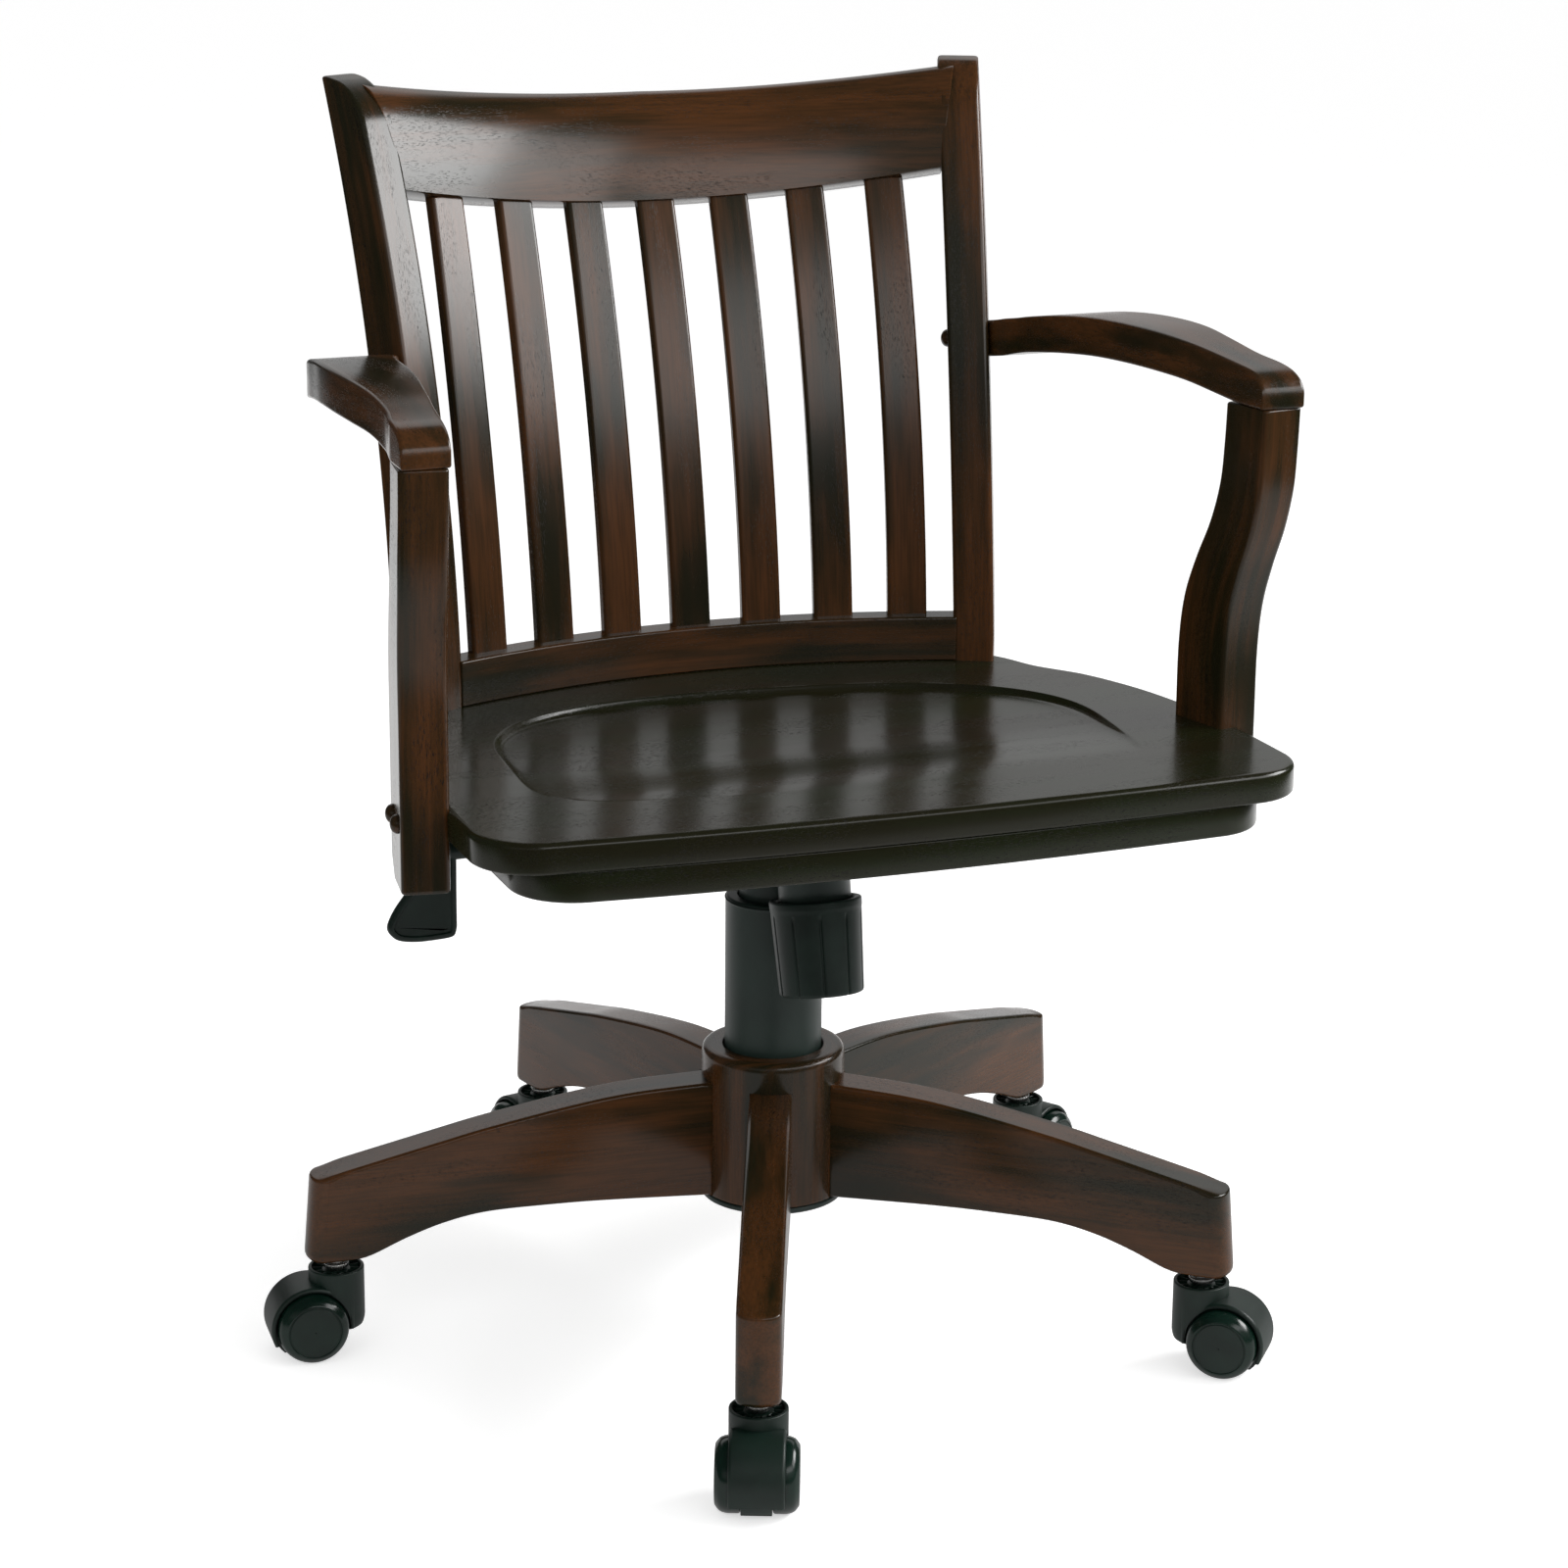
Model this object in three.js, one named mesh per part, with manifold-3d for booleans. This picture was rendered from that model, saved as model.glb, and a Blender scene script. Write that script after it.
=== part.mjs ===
// Bankers swivel chair: a slat-backed wooden armchair on a five-legged base with twin-wheel casters.
// Lengths are in millimetres. +Z is up, the chair faces -Y, and the floor is z = 0.
import * as THREE from "three";
import { mergeVertices } from "three/addons/utils/BufferGeometryUtils.js";
import Module from "manifold-3d";

const wasm = await Module();
wasm.setup();

const rad = THREE.MathUtils.degToRad;
const v2 = (x, y) => new THREE.Vector2(x, y);
const v3 = (x, y, z) => new THREE.Vector3(x, y, z);
const mix = THREE.MathUtils.lerp;

// Clearances
const gap = 0.3; // between pieces that touch
const overrun = 4; // how far a cutting tool runs past the work
const weld = 1e-3; // vertices nearer than this are one

// Heights above the floor
const seatTop = 435;
const backRise = 431; // of the back posts' top above the seat
const backTop = seatTop + backRise;
const armRise = 229; // of the arms' underside above the seat
const armUnderside = seatTop + armRise;
const hubBottom = 91;
const hubHeight = 108;
const hubTop = hubBottom + hubHeight;
const shoulderDrop = 101; // of the gas cylinder's shoulder below the seat's top
const cylinderShoulder = seatTop - shoulderDrop;
const tubeDrop = 24; // of the outer tube's mouth below that shoulder
const tubeTop = cylinderShoulder - tubeDrop;

// Seat
const slabThick = 20.8;
const apronThick = 21;
const seatFront = 241; // ahead of the column
const seatRear = 182; // behind the column
const seatHalfWidth = 285;
const seatBow = 9; // of the front edge
const seatCorner = 44;
const seatOverhang = 4; // of its sides beyond the arm posts' inner faces and notches
const seatShift = 12; // the seat sits this much to the right of the posts
const seatTurn = rad(2); // and is turned clockwise by this, seen from above
const apronInset = 26;
const apronRearInset = 11;
const apronFrontInset = 2;
const scoopDepth = 8;
const scoopWall = 4.5; // depth reached at the carved edge
const scoopHalfWidth = 216;
const scoopMiddle = 45; // ahead of the column
const scoopTurn = rad(6.5);
const scoopRear = 91;
const scoopFront = 172;
const scoopFadeLength = 120;

// Back: the lean of posts, slats and rails follows one curve
const leanStart = 15; // above the seat
const leanFoot = seatTop + leanStart;
const leanRise = 400;
const leanLinear = 28;
const leanSquare = 60;
const postFootDrop = 52; // below the seat's top
const postFootZ = seatTop - postFootDrop;
const postInset = 95; // from the seat's side to a back post's inner front edge
const postHalfSpan = seatHalfWidth - postInset;
const postSpread = 19; // that edge moves out by this at the top of the rise
const postFrontY = 115;
const postWidth = 30;
const postDepthFoot = 43;
const postDepthTop = 34;
const postYaw = rad(27);
const postChamfer = 4;
const postTopRound = 30;

const railHeight = 33;
const railDepth = 23;
const railSagShare = 36 / 190; // of the posts' half span
const railSag = postHalfSpan * railSagShare;
const railEndY = 114;
const railFrontY = railEndY + railSag;
const railEdge = 3;

const crestRise = 334; // of the crest's bottom edge above the seat
const crestBottomZ = seatTop + crestRise;
const crestBottomRise = 21; // of the bottom edge from the middle to the ends
const crestHeight = 74;
const crestHeightLoss = 3; // at the ends
const crestEndY = 184;
const crestSplay = 14; // of the crest's half span beyond that of the posts at the seat
const crestHalfSpan = postHalfSpan + crestSplay;
const crestSagShare = 46 / 204; // of the crest's half span
const crestSag = crestHalfSpan * crestSagShare;
const crestFrontY = crestEndY + crestSag;
const crestLean = 26;
const crestDepth = 22;
const crestRound = 9;

const slatCount = 7;
const slatSpaces = (slatCount - 1) / 2;
const slatInsetFoot = 28; // from a back post to the outer slat's middle, at the foot
const slatInsetTop = 36.6; // and at the crest
const slatPitchFoot = (postHalfSpan - slatInsetFoot) / slatSpaces;
const slatPitchTop = (crestHalfSpan - slatInsetTop) / slatSpaces;
const slatWidthFoot = 29.5;
const slatWidthTop = 28.5;
const slatThick = 9;
const slatBevel = 3;
const slatSetBack = 8; // of the slats' faces behind those of the rails
const slatFrontFoot = railFrontY + slatSetBack;
const slatFrontTop = crestFrontY + slatSetBack;
// The slats' bends as shares of the outer slat's distance from the middle
const slatSagFootShare = 22.5 / 162;
const slatSagTopShare = 31 / 167.4;
const slatSagFoot = slatSpaces * slatPitchFoot * slatSagFootShare;
const slatSagTop = slatSpaces * slatPitchTop * slatSagTopShare;
const slatTenon = 10;
const slatTopIn = 3; // how far the slats' visible ends stand into the crest
const slatTopZ = crestBottomZ + slatTopIn;

// Arms
const armThick = 33;
const armEdge = 9;
const armFront = 160;
const armRear = 152;
const armSweep = 57; // the arm's inner edge comes in by this from front to rear

const armPostWidth = 32;
const armPostYaw = rad(10);
const armPostFootDrop = 56; // below the seat's top
const armPostFootZ = seatTop - armPostFootDrop;
const armPostInset = 5; // of its inner front edge from the seat's side
const armPostFootX = seatHalfWidth - armPostInset;
const armPostFootY = 130;
const armPostDepthFoot = 52;
const armPostDepthTop = 43;
const armPostForward = 32; // the S curve brings the top forward by this
const armPostOut = 7;
const armPostEdge = 4;
const armPostHeel = 14; // chamfer of the lower rear corner

// Bolts with domed caps, two through each arm post and one through each back post
const capRadius = 6.5;
const capHeight = 5;
const shankRadius = 3;
const armBoltLength = 58;
const armBoltDrop = 11; // below the seat's top
const armBoltZ = seatTop - armBoltDrop;
const armBoltInset = 14; // from the front edge to the first bolt
const armBoltPitch = 24;

// Base
const legCount = 5;
const frontLegAngle = rad(-114);
const hubRadius = 51;
const hubRound = 8;
const discThick = 4;
const legWidth = 30;
const legEdge = 3;
const legReach = 337;
const legHubTop = 177;
const legHubBottom = 92;
const legTipTop = 131;
const legTipBottom = 70.5;
const legArchTop = 99;
const legEndInset = 19; // from a leg's tip to its caster's stem
const stemCircle = legReach - legEndInset;
const legRootDepth = 1; // of the leg's outline into the hub

// Column
const tubeRadius = 34.5;
const tubeFootZ = 95;
const tubeRimRadius = 35;
const tubeRimHeight = 11;
const bushWall = 5;
const bushHeight = 40;
const bushLip = 3;
const cylinderRadius = 25;
const cylinderFoot = 112;
const neckRadius = 14;
const neckHeight = 21;
const neckTop = cylinderShoulder + neckHeight;
const buttonRadius = 4;
const buttonHeight = 6.2;
const buttonTop = neckTop + buttonHeight;
const rodRadius = 5;
const rodTopDrop = 10; // below the outer tube's mouth
const rodTop = tubeTop - rodTopDrop;
const rodFloor = 6;

// Mechanism
const plateThick = 3;
const plateWidth = 156;
const plateFront = 118;
const plateRear = 92;
const cheekThick = 4;
const cheekDrop = 34;
const cheekLength = 46;
const housingHalfWidth = 32;
const housingDrop = 54; // of its top below the seat's top
const housingTop = seatTop - housingDrop;
const housingLift = 4; // of its foot above the gas cylinder's shoulder
const housingBottom = cylinderShoulder + housingLift;
const housingFront = 112;
const housingStep = 52; // ahead of the column, where its shallower front part starts
const housingStepRise = 14; // of that part's foot above the rest
const housingRear = 40;
const housingWall = 5;
const pivotY = 38; // ahead of the column
const pivotDrop = 69; // below the seat's top
const pivotZ = seatTop - pivotDrop;
const pinRadius = 6;
const pinHead = 9;
const pinHeadThick = 4;
const seatTilt = rad(10); // largest tilt of the seat on its pin
const tensionTilt = rad(12);
const tensionY = 72; // ahead of the column, at the knob's mouth
const knobMouthDrop = 103; // below the seat's top
const knobMouthZ = seatTop - knobMouthDrop;
const knobHeight = 67;
const knobRadius = 32;
const knobFootRadius = 30.5;
const knobWall = 4.5;
const knobFloor = 14;
const knobGrooves = 10;
const knobGroove = 2.2; // depth of a finger groove
const knobClear = 4; // from the knob's mouth to the housing
const bossRadius = 25;
const bossDepth = 9;
const bossRise = 34; // above the knob's mouth, into the housing
const boltRadius = 5;
const boltHeadRadius = 10;
const boltHeadThick = 6;
const springRadius = 17;
const springWall = 5;

// Lever
const leverRadius = 4;
const leverClear = 1.8; // above the gas cylinder's button
const leverZ = buttonTop + leverRadius + leverClear;
const leverEnd = 240;
const leverInner = 5;
const leverY = 0;
const paddleThick = 7;
const paddleWidth = 49;
const paddleDrop = 58; // of its foot below the rod
const paddleWall = 2.5; // round the rod
const paddleInset = 5; // of its inner edge from the rod's end

// Casters
const wheelRadius = 25;
const wheelWidth = 17;
const wheelDome = 5;
const wheelBore = 3.4;
const hoodWeb = 20.4;
const hoodWidth = 37;
const hoodClear = 1.2;
const hoodWall = 3;
const hoodFootClear = 6;
const casterTrail = 20;
const axleRadius = 3;
const stemRadius = 5.5;
const stemLength = 38;
const stemCollarRadius = 9;
const stemCollar = 3;
const socketRadius = 19.5;
const socketTop = 63;
const socketWall = 2.5;
const socketRecess = 4;
const socketFoot = 20;
const stemDepth = 22; // into the hood

// Steps along curves
const roundSteps = 32;
const cornerSteps = 6;
const domeSteps = 4;

const finish = (colour, roughness, metalness = 0) =>
  new THREE.MeshStandardMaterial({ color: colour, roughness, metalness });
const wood = finish(0x2e1a12, 0.35);
const blackPlastic = finish(0x121413, 0.45);
const blackSteel = finish(0x1b1d1d, 0.4, 0.6);
const brightSteel = finish(0xb8b9b6, 0.25, 1);

const chair = new THREE.Group();

// Closed solids

function volumeOf(geometry) {
  const p = geometry.getAttribute("position");
  const [a, b, c] = [v3(), v3(), v3()];
  let sum = 0;
  for (let i = 0; i < p.count; i += 3) {
    a.fromBufferAttribute(p, i);
    b.fromBufferAttribute(p, i + 1);
    c.fromBufferAttribute(p, i + 2);
    sum += a.dot(b.cross(c));
  }
  return sum;
}

// A skin over a list of rings with the same count of points, closed by a fan at each end.
function loft(rings) {
  const out = [];
  const n = rings[0].length;
  const put = (...points) => points.forEach((p) => out.push(p.x, p.y, p.z));
  for (let i = 0; i + 1 < rings.length; i++)
    for (let j = 0; j < n; j++) {
      const k = (j + 1) % n;
      put(rings[i][j], rings[i][k], rings[i + 1][k]);
      put(rings[i][j], rings[i + 1][k], rings[i + 1][j]);
    }
  const fan = (ring, flip) => {
    const middle = v3();
    ring.forEach((p) => middle.add(p));
    middle.divideScalar(n);
    for (let j = 0; j < n; j++) {
      const k = (j + 1) % n;
      if (flip) put(middle, ring[k], ring[j]);
      else put(middle, ring[j], ring[k]);
    }
  };
  fan(rings[0], true);
  fan(rings[rings.length - 1], false);
  const g = new THREE.BufferGeometry();
  g.setAttribute("position", new THREE.Float32BufferAttribute(out, 3));
  if (volumeOf(g) < 0)
    for (let i = 0; i < out.length; i += 9)
      for (let k = 0; k < 3; k++)
        [g.attributes.position.array[i + k], g.attributes.position.array[i + 6 + k]] = [
          g.attributes.position.array[i + 6 + k],
          g.attributes.position.array[i + k],
        ];
  return g;
}

function toSolid(geometry) {
  const plain = geometry.index ? geometry.toNonIndexed() : geometry.clone();
  plain.deleteAttribute("normal");
  plain.deleteAttribute("uv");
  const welded = mergeVertices(plain, weld);
  return new wasm.Manifold(
    new wasm.Mesh({
      numProp: 3,
      vertProperties: welded.attributes.position.array,
      triVerts: new Uint32Array(welded.index.array),
    }),
  );
}

function toGeometry(solid) {
  const mesh = solid.getMesh();
  const g = new THREE.BufferGeometry();
  g.setAttribute("position", new THREE.BufferAttribute(new Float32Array(mesh.vertProperties), 3));
  g.setIndex(new THREE.BufferAttribute(new Uint32Array(mesh.triVerts), 1));
  return g;
}

const cut = (body, ...tools) =>
  toGeometry(tools.reduce((left, tool) => left.subtract(toSolid(tool)), toSolid(body)));
const join = (...bodies) =>
  toGeometry(bodies.slice(1).reduce((all, b) => all.add(toSolid(b)), toSolid(bodies[0])));

// A turned solid about +Z. The profile runs from foot to top and is closed to the axis.
function turned(profile, steps = roundSteps) {
  const points = profile.map(([r, z]) => v2(r, z));
  const first = points[0];
  const last = points[points.length - 1];
  if (first.x > 0) points.unshift(v2(0, first.y));
  if (last.x > 0) points.push(v2(0, last.y));
  return new THREE.LatheGeometry(points, steps).rotateX(Math.PI / 2);
}

// A turned ring: the profile closes on itself and stays off the axis.
function turnedRing(profile, steps = roundSteps) {
  const points = profile.map(([r, z]) => v2(r, z));
  points.push(points[0].clone());
  return new THREE.LatheGeometry(points, steps).rotateX(Math.PI / 2);
}

const rod = (radius, from, to, steps = roundSteps) =>
  turned(
    [
      [radius, from],
      [radius, to],
    ],
    steps,
  );

function block(x0, x1, y0, y1, z0, z1) {
  const g = new THREE.BoxGeometry(x1 - x0, y1 - y0, z1 - z0);
  return g.translate((x0 + x1) / 2, (y0 + y1) / 2, (z0 + z1) / 2);
}

// An outline in the XY plane raised from z0 to z1.
function slab(outline, z0, z1) {
  const g = new THREE.ExtrudeGeometry(new THREE.Shape(outline), {
    depth: z1 - z0,
    bevelEnabled: false,
    curveSegments: cornerSteps,
  });
  return g.translate(0, 0, z0);
}

function add(parent, name, geometry, material) {
  const mesh = new THREE.Mesh(geometry, material);
  mesh.name = name;
  geometry.computeVertexNormals();
  parent.add(mesh);
  return mesh;
}

const mirrored = (geometry) => {
  const g = geometry.index ? geometry.toNonIndexed() : geometry.clone();
  g.scale(-1, 1, 1);
  const p = g.attributes.position.array;
  for (let i = 0; i < p.length; i += 9)
    for (let k = 0; k < 3; k++) [p[i + k], p[i + 6 + k]] = [p[i + 6 + k], p[i + k]];
  return g;
};

// Back posts

const lean = (z) => {
  const s = Math.max(0, (z - leanFoot) / leanRise);
  return leanLinear * s + leanSquare * s * s;
};

// Height shares along a back post, closer together where its top is rounded.
const postShares = [0, 0.12, 0.28, 0.42, 0.54, 0.66, 0.78, 0.87, 0.94, 0.965, 0.985, 1];

function backPost(grow) {
  const rings = postShares.map((share, i) => {
    const z = mix(postFootZ, backTop, share);
    const end = i === 0 ? -grow : i === postShares.length - 1 ? grow : 0;
    const rise = Math.max(0, (z - leanFoot) / leanRise);
    const depth = mix(postDepthFoot, postDepthTop, share);
    const over = Math.max(0, z - (backTop - postTopRound));
    const set = postTopRound - Math.sqrt(postTopRound * postTopRound - over * over);
    const corner = v2(postHalfSpan + postSpread * rise * rise, postFrontY + lean(z));
    const across = v2(Math.cos(postYaw), -Math.sin(postYaw));
    const back = v2(Math.sin(postYaw), Math.cos(postYaw));
    const c = postChamfer;
    const front = Math.min(set, depth - 2 * c);
    const section = [
      [c, front],
      [postWidth - c, front],
      [postWidth, front + c],
      [postWidth, depth - c],
      [postWidth - c, depth],
      [c, depth],
      [0, depth - c],
      [0, front + c],
    ];
    return section.map(([a, b]) => {
      const ga = a + (a < postWidth / 2 ? -grow : grow);
      const gb = b + (b < (front + depth) / 2 ? -grow : grow);
      const p = corner.clone().addScaledVector(across, ga).addScaledVector(back, gb);
      return v3(p.x, p.y, z + end);
    });
  });
  return loft(rings);
}

// Arm posts

// [height share, share of the forward sweep, share of the outward sweep]
const armPostShares = [
  [0, 0, 0],
  [0.06, 0, 0],
  [0.2, 0, 0],
  [0.38, 0, 0],
  [0.5, 0.1, 0.15],
  [0.6, 0.34, 0.45],
  [0.7, 0.66, 0.8],
  [0.8, 0.87, 1],
  [0.9, 0.96, 1],
  [1, 1, 1],
];

function armPost(grow) {
  const top = armUnderside - gap;
  const rings = armPostShares.map(([share, forward, out], i) => {
    const end = i === 0 ? -grow : i === armPostShares.length - 1 ? grow : 0;
    const z = mix(armPostFootZ, top, share) + end;
    const depth = mix(armPostDepthFoot, armPostDepthTop, forward) - (i === 0 ? armPostHeel : 0);
    const x = armPostFootX + armPostOut * out;
    const y = -armPostFootY - armPostForward * forward;
    const across = v2(Math.cos(armPostYaw), Math.sin(armPostYaw));
    const back = v2(-Math.sin(armPostYaw), Math.cos(armPostYaw));
    const c = armPostEdge;
    const section = [
      [c, 0],
      [armPostWidth - c, 0],
      [armPostWidth, c],
      [armPostWidth, depth - c],
      [armPostWidth - c, depth],
      [c, depth],
      [0, depth - c],
      [0, c],
    ];
    return section.map(([a, b]) => {
      const ga = a + (a < armPostWidth / 2 ? -grow : grow);
      const gb = b + (b < depth / 2 ? -grow : grow);
      const p = v2(x, y).addScaledVector(across, ga).addScaledVector(back, gb);
      return v3(p.x, p.y, z);
    });
  });
  return loft(rings);
}

// Bolts through the arm posts, along each post's own width

const boltLine = (i) => {
  const across = v2(Math.cos(armPostYaw), Math.sin(armPostYaw));
  const back = v2(-Math.sin(armPostYaw), Math.cos(armPostYaw));
  const p = v2(armPostFootX, -armPostFootY)
    .addScaledVector(across, armPostWidth)
    .addScaledVector(back, armBoltInset + i * armBoltPitch);
  return { at: p, turn: armPostYaw };
};

function alongPost(geometry, line) {
  geometry.rotateY(Math.PI / 2);
  geometry.rotateZ(line.turn);
  return geometry.translate(line.at.x, line.at.y, armBoltZ);
}

function boltGeometry() {
  const dome = [];
  for (let i = 0; i <= domeSteps; i++) {
    const a = (i / domeSteps) * (Math.PI / 2);
    dome.push([capRadius * Math.cos(a), gap + capHeight * Math.sin(a)]);
  }
  return turned([[shankRadius, -armBoltLength], [shankRadius, gap], ...dome], 12);
}

const boltHole = () => rod(shankRadius + gap, -armBoltLength - gap, overrun, 12);

// Seat

// [share of the half width, share of the depth from the front]: the side from the corner to the back
const sideShares = [
  [1, 0.2],
  [0.997, 0.3],
  [0.986, 0.4],
  [0.967, 0.5],
  [0.93, 0.6],
  [0.87, 0.7],
  [0.79, 0.78],
  [0.74, 0.86],
  [0.66, 0.925],
  [0.4, 0.98],
  [0, 1],
];

function seatOutline(inset, frontInset, rearInset) {
  const half = seatHalfWidth + seatOverhang - inset;
  const front = -seatFront + frontInset;
  const depth = seatRear - front - rearInset;
  const flat = half - seatCorner;
  const right = [];
  for (let i = 0; i < cornerSteps; i++) {
    const x = (flat * i) / cornerSteps;
    right.push(v2(x, front + seatBow * (x / flat) ** 2));
  }
  for (let i = 0; i <= cornerSteps; i++) {
    const a = (i / cornerSteps) * (Math.PI / 2);
    const y = front + seatBow + seatCorner * (1 - Math.cos(a));
    right.push(v2(flat + seatCorner * Math.sin(a), y));
  }
  const side = new THREE.SplineCurve(sideShares.map(([a, b]) => v2(half * a, front + depth * b)));
  side.getPoints(sideShares.length * 2).forEach((p) => right.push(p));
  const left = right.slice(1, -1).reverse();
  const outline = [...right, ...left.map((p) => v2(-p.x, p.y))];
  return outline.map((p) => p.rotateAround(v2(0, 0), -seatTurn).add(v2(seatShift, 0)));
}

// [share of the way from the middle to the carved edge, share of the dish's depth]
const dishShares = [
  [0.94, 0.55],
  [0.8, 0.78],
  [0.5, 1],
];

function seatSlab() {
  const outline = seatOutline(0, 0, 0);
  const foot = seatTop - slabThick;
  const middle = v2(seatShift / 2, -scoopMiddle);
  const ring = outline.map((p) => {
    const a = Math.atan2(p.y - middle.y, p.x - middle.x);
    const b = a + scoopTurn;
    const reach = Math.sin(b) > 0 ? scoopRear - middle.y : scoopFront + middle.y;
    const [cx, sy] = [Math.abs(Math.cos(b)), Math.abs(Math.sin(b))];
    const power = 2.5;
    const r = ((cx / scoopHalfWidth) ** power + (sy / reach) ** power) ** (-1 / power);
    return v2(r * Math.cos(a), r * Math.sin(a));
  });
  const fade = (y) =>
    THREE.MathUtils.smoothstep(y, -scoopFront, scoopFadeLength - scoopFront);
  const at = (share, deep) =>
    ring.map((r) => {
      const p = r.clone().multiplyScalar(share).add(middle);
      return v3(p.x, p.y, seatTop - scoopDepth * deep * fade(p.y));
    });
  return loft([
    outline.map((p) => v3(p.x, p.y, foot)),
    outline.map((p) => v3(p.x, p.y, seatTop)),
    at(1, 0),
    ...dishShares.map(([share, deep]) => at(share, deep)),
  ]);
}

const pairOf = (make) => [make, mirrored(make.clone())];
const postTools = [...pairOf(backPost(gap)), ...pairOf(armPost(gap))];
const boltTools = [0, 1].flatMap((i) => pairOf(alongPost(boltHole(), boltLine(i))));

const upper = new THREE.Group();
chair.add(upper);

add(upper, "seat_slab", cut(seatSlab(), ...postTools, ...boltTools), wood);

// The head of the tension bolt sits above the mounting plate in a pocket of the apron.
const apronFoot = seatTop - slabThick - gap - apronThick;
const headPocket = rod(boltHeadRadius * 2, apronFoot - overrun, apronFoot + boltHeadThick * 2)
  .translate(0, -tensionY + boltHeadRadius, 0);
add(
  upper,
  "seat_apron",
  cut(
    slab(seatOutline(apronInset, apronFrontInset, apronRearInset), apronFoot, seatTop - slabThick - gap),
    ...postTools,
    headPocket,
  ),
  wood,
);

// Back

for (const [side, geometry] of [
  ["right", backPost(0)],
  ["left", mirrored(backPost(0))],
])
  add(upper, "back_post_" + side, geometry, wood);

function slat(i, grow) {
  const k = i - slatSpaces;
  const foot = seatTop + railHeight + gap - slatTenon - grow;
  const top = slatTopZ + slatTenon + grow;
  const far = slatSpaces * slatPitchFoot;
  const steps = 9;
  const rings = [];
  for (let s = 0; s <= steps; s++) {
    const z = mix(foot, top, s / steps);
    const share = (lean(z) - lean(foot)) / (lean(top) - lean(foot));
    const straight = (z - foot) / (top - foot);
    const x = k * mix(slatPitchFoot, slatPitchTop, straight);
    const sag = mix(slatSagFoot, slatSagTop, share);
    const y = mix(slatFrontFoot, slatFrontTop, share) - sag * (x / far) ** 2;
    const turn = Math.atan2(-2 * sag * x, far * far);
    const half = mix(slatWidthFoot, slatWidthTop, straight) / 2 + grow;
    const b = slatBevel;
    const section = [
      [-half + b, -grow],
      [half - b, -grow],
      [half, b - grow],
      [half, slatThick + grow],
      [-half, slatThick + grow],
      [-half, b - grow],
    ];
    rings.push(
      section.map(([a, d]) =>
        v3(x + a * Math.cos(turn) - d * Math.sin(turn), y + a * Math.sin(turn) + d * Math.cos(turn), z),
      ),
    );
  }
  return loft(rings);
}

const slatIndex = [...Array(slatCount).keys()];
const slatTools = slatIndex.map((i) => slat(i, gap));
slatIndex.forEach((i) => add(upper, "back_slat_" + (i + 1), slat(i, 0), wood));

// A rail bent to an arc: stations across the chair, each with the same section.
function bentRail(halfSpan, frontY, sag, section) {
  const steps = 14;
  const rings = [];
  for (let s = 0; s <= steps; s++) {
    const x = mix(-halfSpan, halfSpan, s / steps);
    const y = frontY - sag * (x / halfSpan) ** 2;
    const turn = Math.atan2(-2 * sag * x, halfSpan * halfSpan);
    rings.push(
      section(Math.abs(x / halfSpan)).map(([d, z]) =>
        v3(x - d * Math.sin(turn), y + d * Math.cos(turn), z),
      ),
    );
  }
  return loft(rings);
}

const railFoot = seatTop + gap;
const railTop = seatTop + railHeight;
const lowerRail = bentRail(postHalfSpan + postWidth / 4, railFrontY, railSag, () => [
  [0, railFoot],
  [0, railTop - railEdge],
  [railEdge, railTop],
  [railDepth - railEdge, railTop],
  [railDepth, railTop - railEdge],
  [railDepth, railFoot],
]);
add(upper, "lower_back_rail", cut(lowerRail, ...postTools.slice(0, 2), ...slatTools), wood);

const crest = bentRail(crestHalfSpan + postWidth / 3, crestFrontY, crestSag, (share) => {
  const foot = crestBottomZ + crestBottomRise * share * share;
  const high = crestHeight - crestHeightLoss * share;
  const drop = (crestDepth * crestLean) / crestHeight;
  const r = crestRound;
  return [
    [0, foot],
    [crestLean * 0.3, foot + high * 0.4],
    [crestLean * 0.68, foot + high * 0.75],
    [crestLean - r * 0.2, foot + high - r],
    [crestLean + r * 0.25, foot + high - r * 0.25],
    [crestLean + r, foot + high],
    [crestLean + crestDepth - r, foot + high],
    [crestLean + crestDepth - r * 0.25, foot + high - r * 0.25],
    [crestLean * 0.95 + crestDepth, foot + high - r],
    [crestLean * 0.4 + crestDepth, foot + high * 0.45],
    [crestDepth, foot - drop],
  ];
});
add(upper, "crest_rail", cut(crest, ...postTools.slice(0, 2), ...slatTools), wood);

// Arms

// [share of the length from the rear, inner edge inside and outer edge outside the seat's side as shares
// of the sweep, top and underside above the post's top as shares of the thickness]
const armLength = armFront + armRear;
const armShares = [
  [0, 1, -0.7, 0.51, -0.3],
  [0.05, 1.025, -0.35, 0.59, -0.22],
  [0.075, 0.95, 0, 0.65, -0.18],
  [0.1, 0.875, 0.19, 0.69, -0.11],
  [0.15, 0.785, 0.275, 0.79, -0.01],
  [0.25, 0.635, 0.36, 0.94, 0.11],
  [0.36, 0.5, 0.445, 1.04, 0.2],
  [0.48, 0.415, 0.5, 1.09, 0.25],
  [0.6, 0.32, 0.5, 1.09, 0.25],
  [0.72, 0.21, 0.46, 1.02, 0.2],
  [0.83, 0.11, 0.47, 0.9, 0.08],
  [0.9, 0.06, 0.535, 0.82, 0],
  [0.95, 0.03, 0.56, 0.75, 0],
  [0.985, 0.01, 0.57, 0.58, 0],
  [1, 0, 0.575, 0.36, 0],
];

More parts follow.
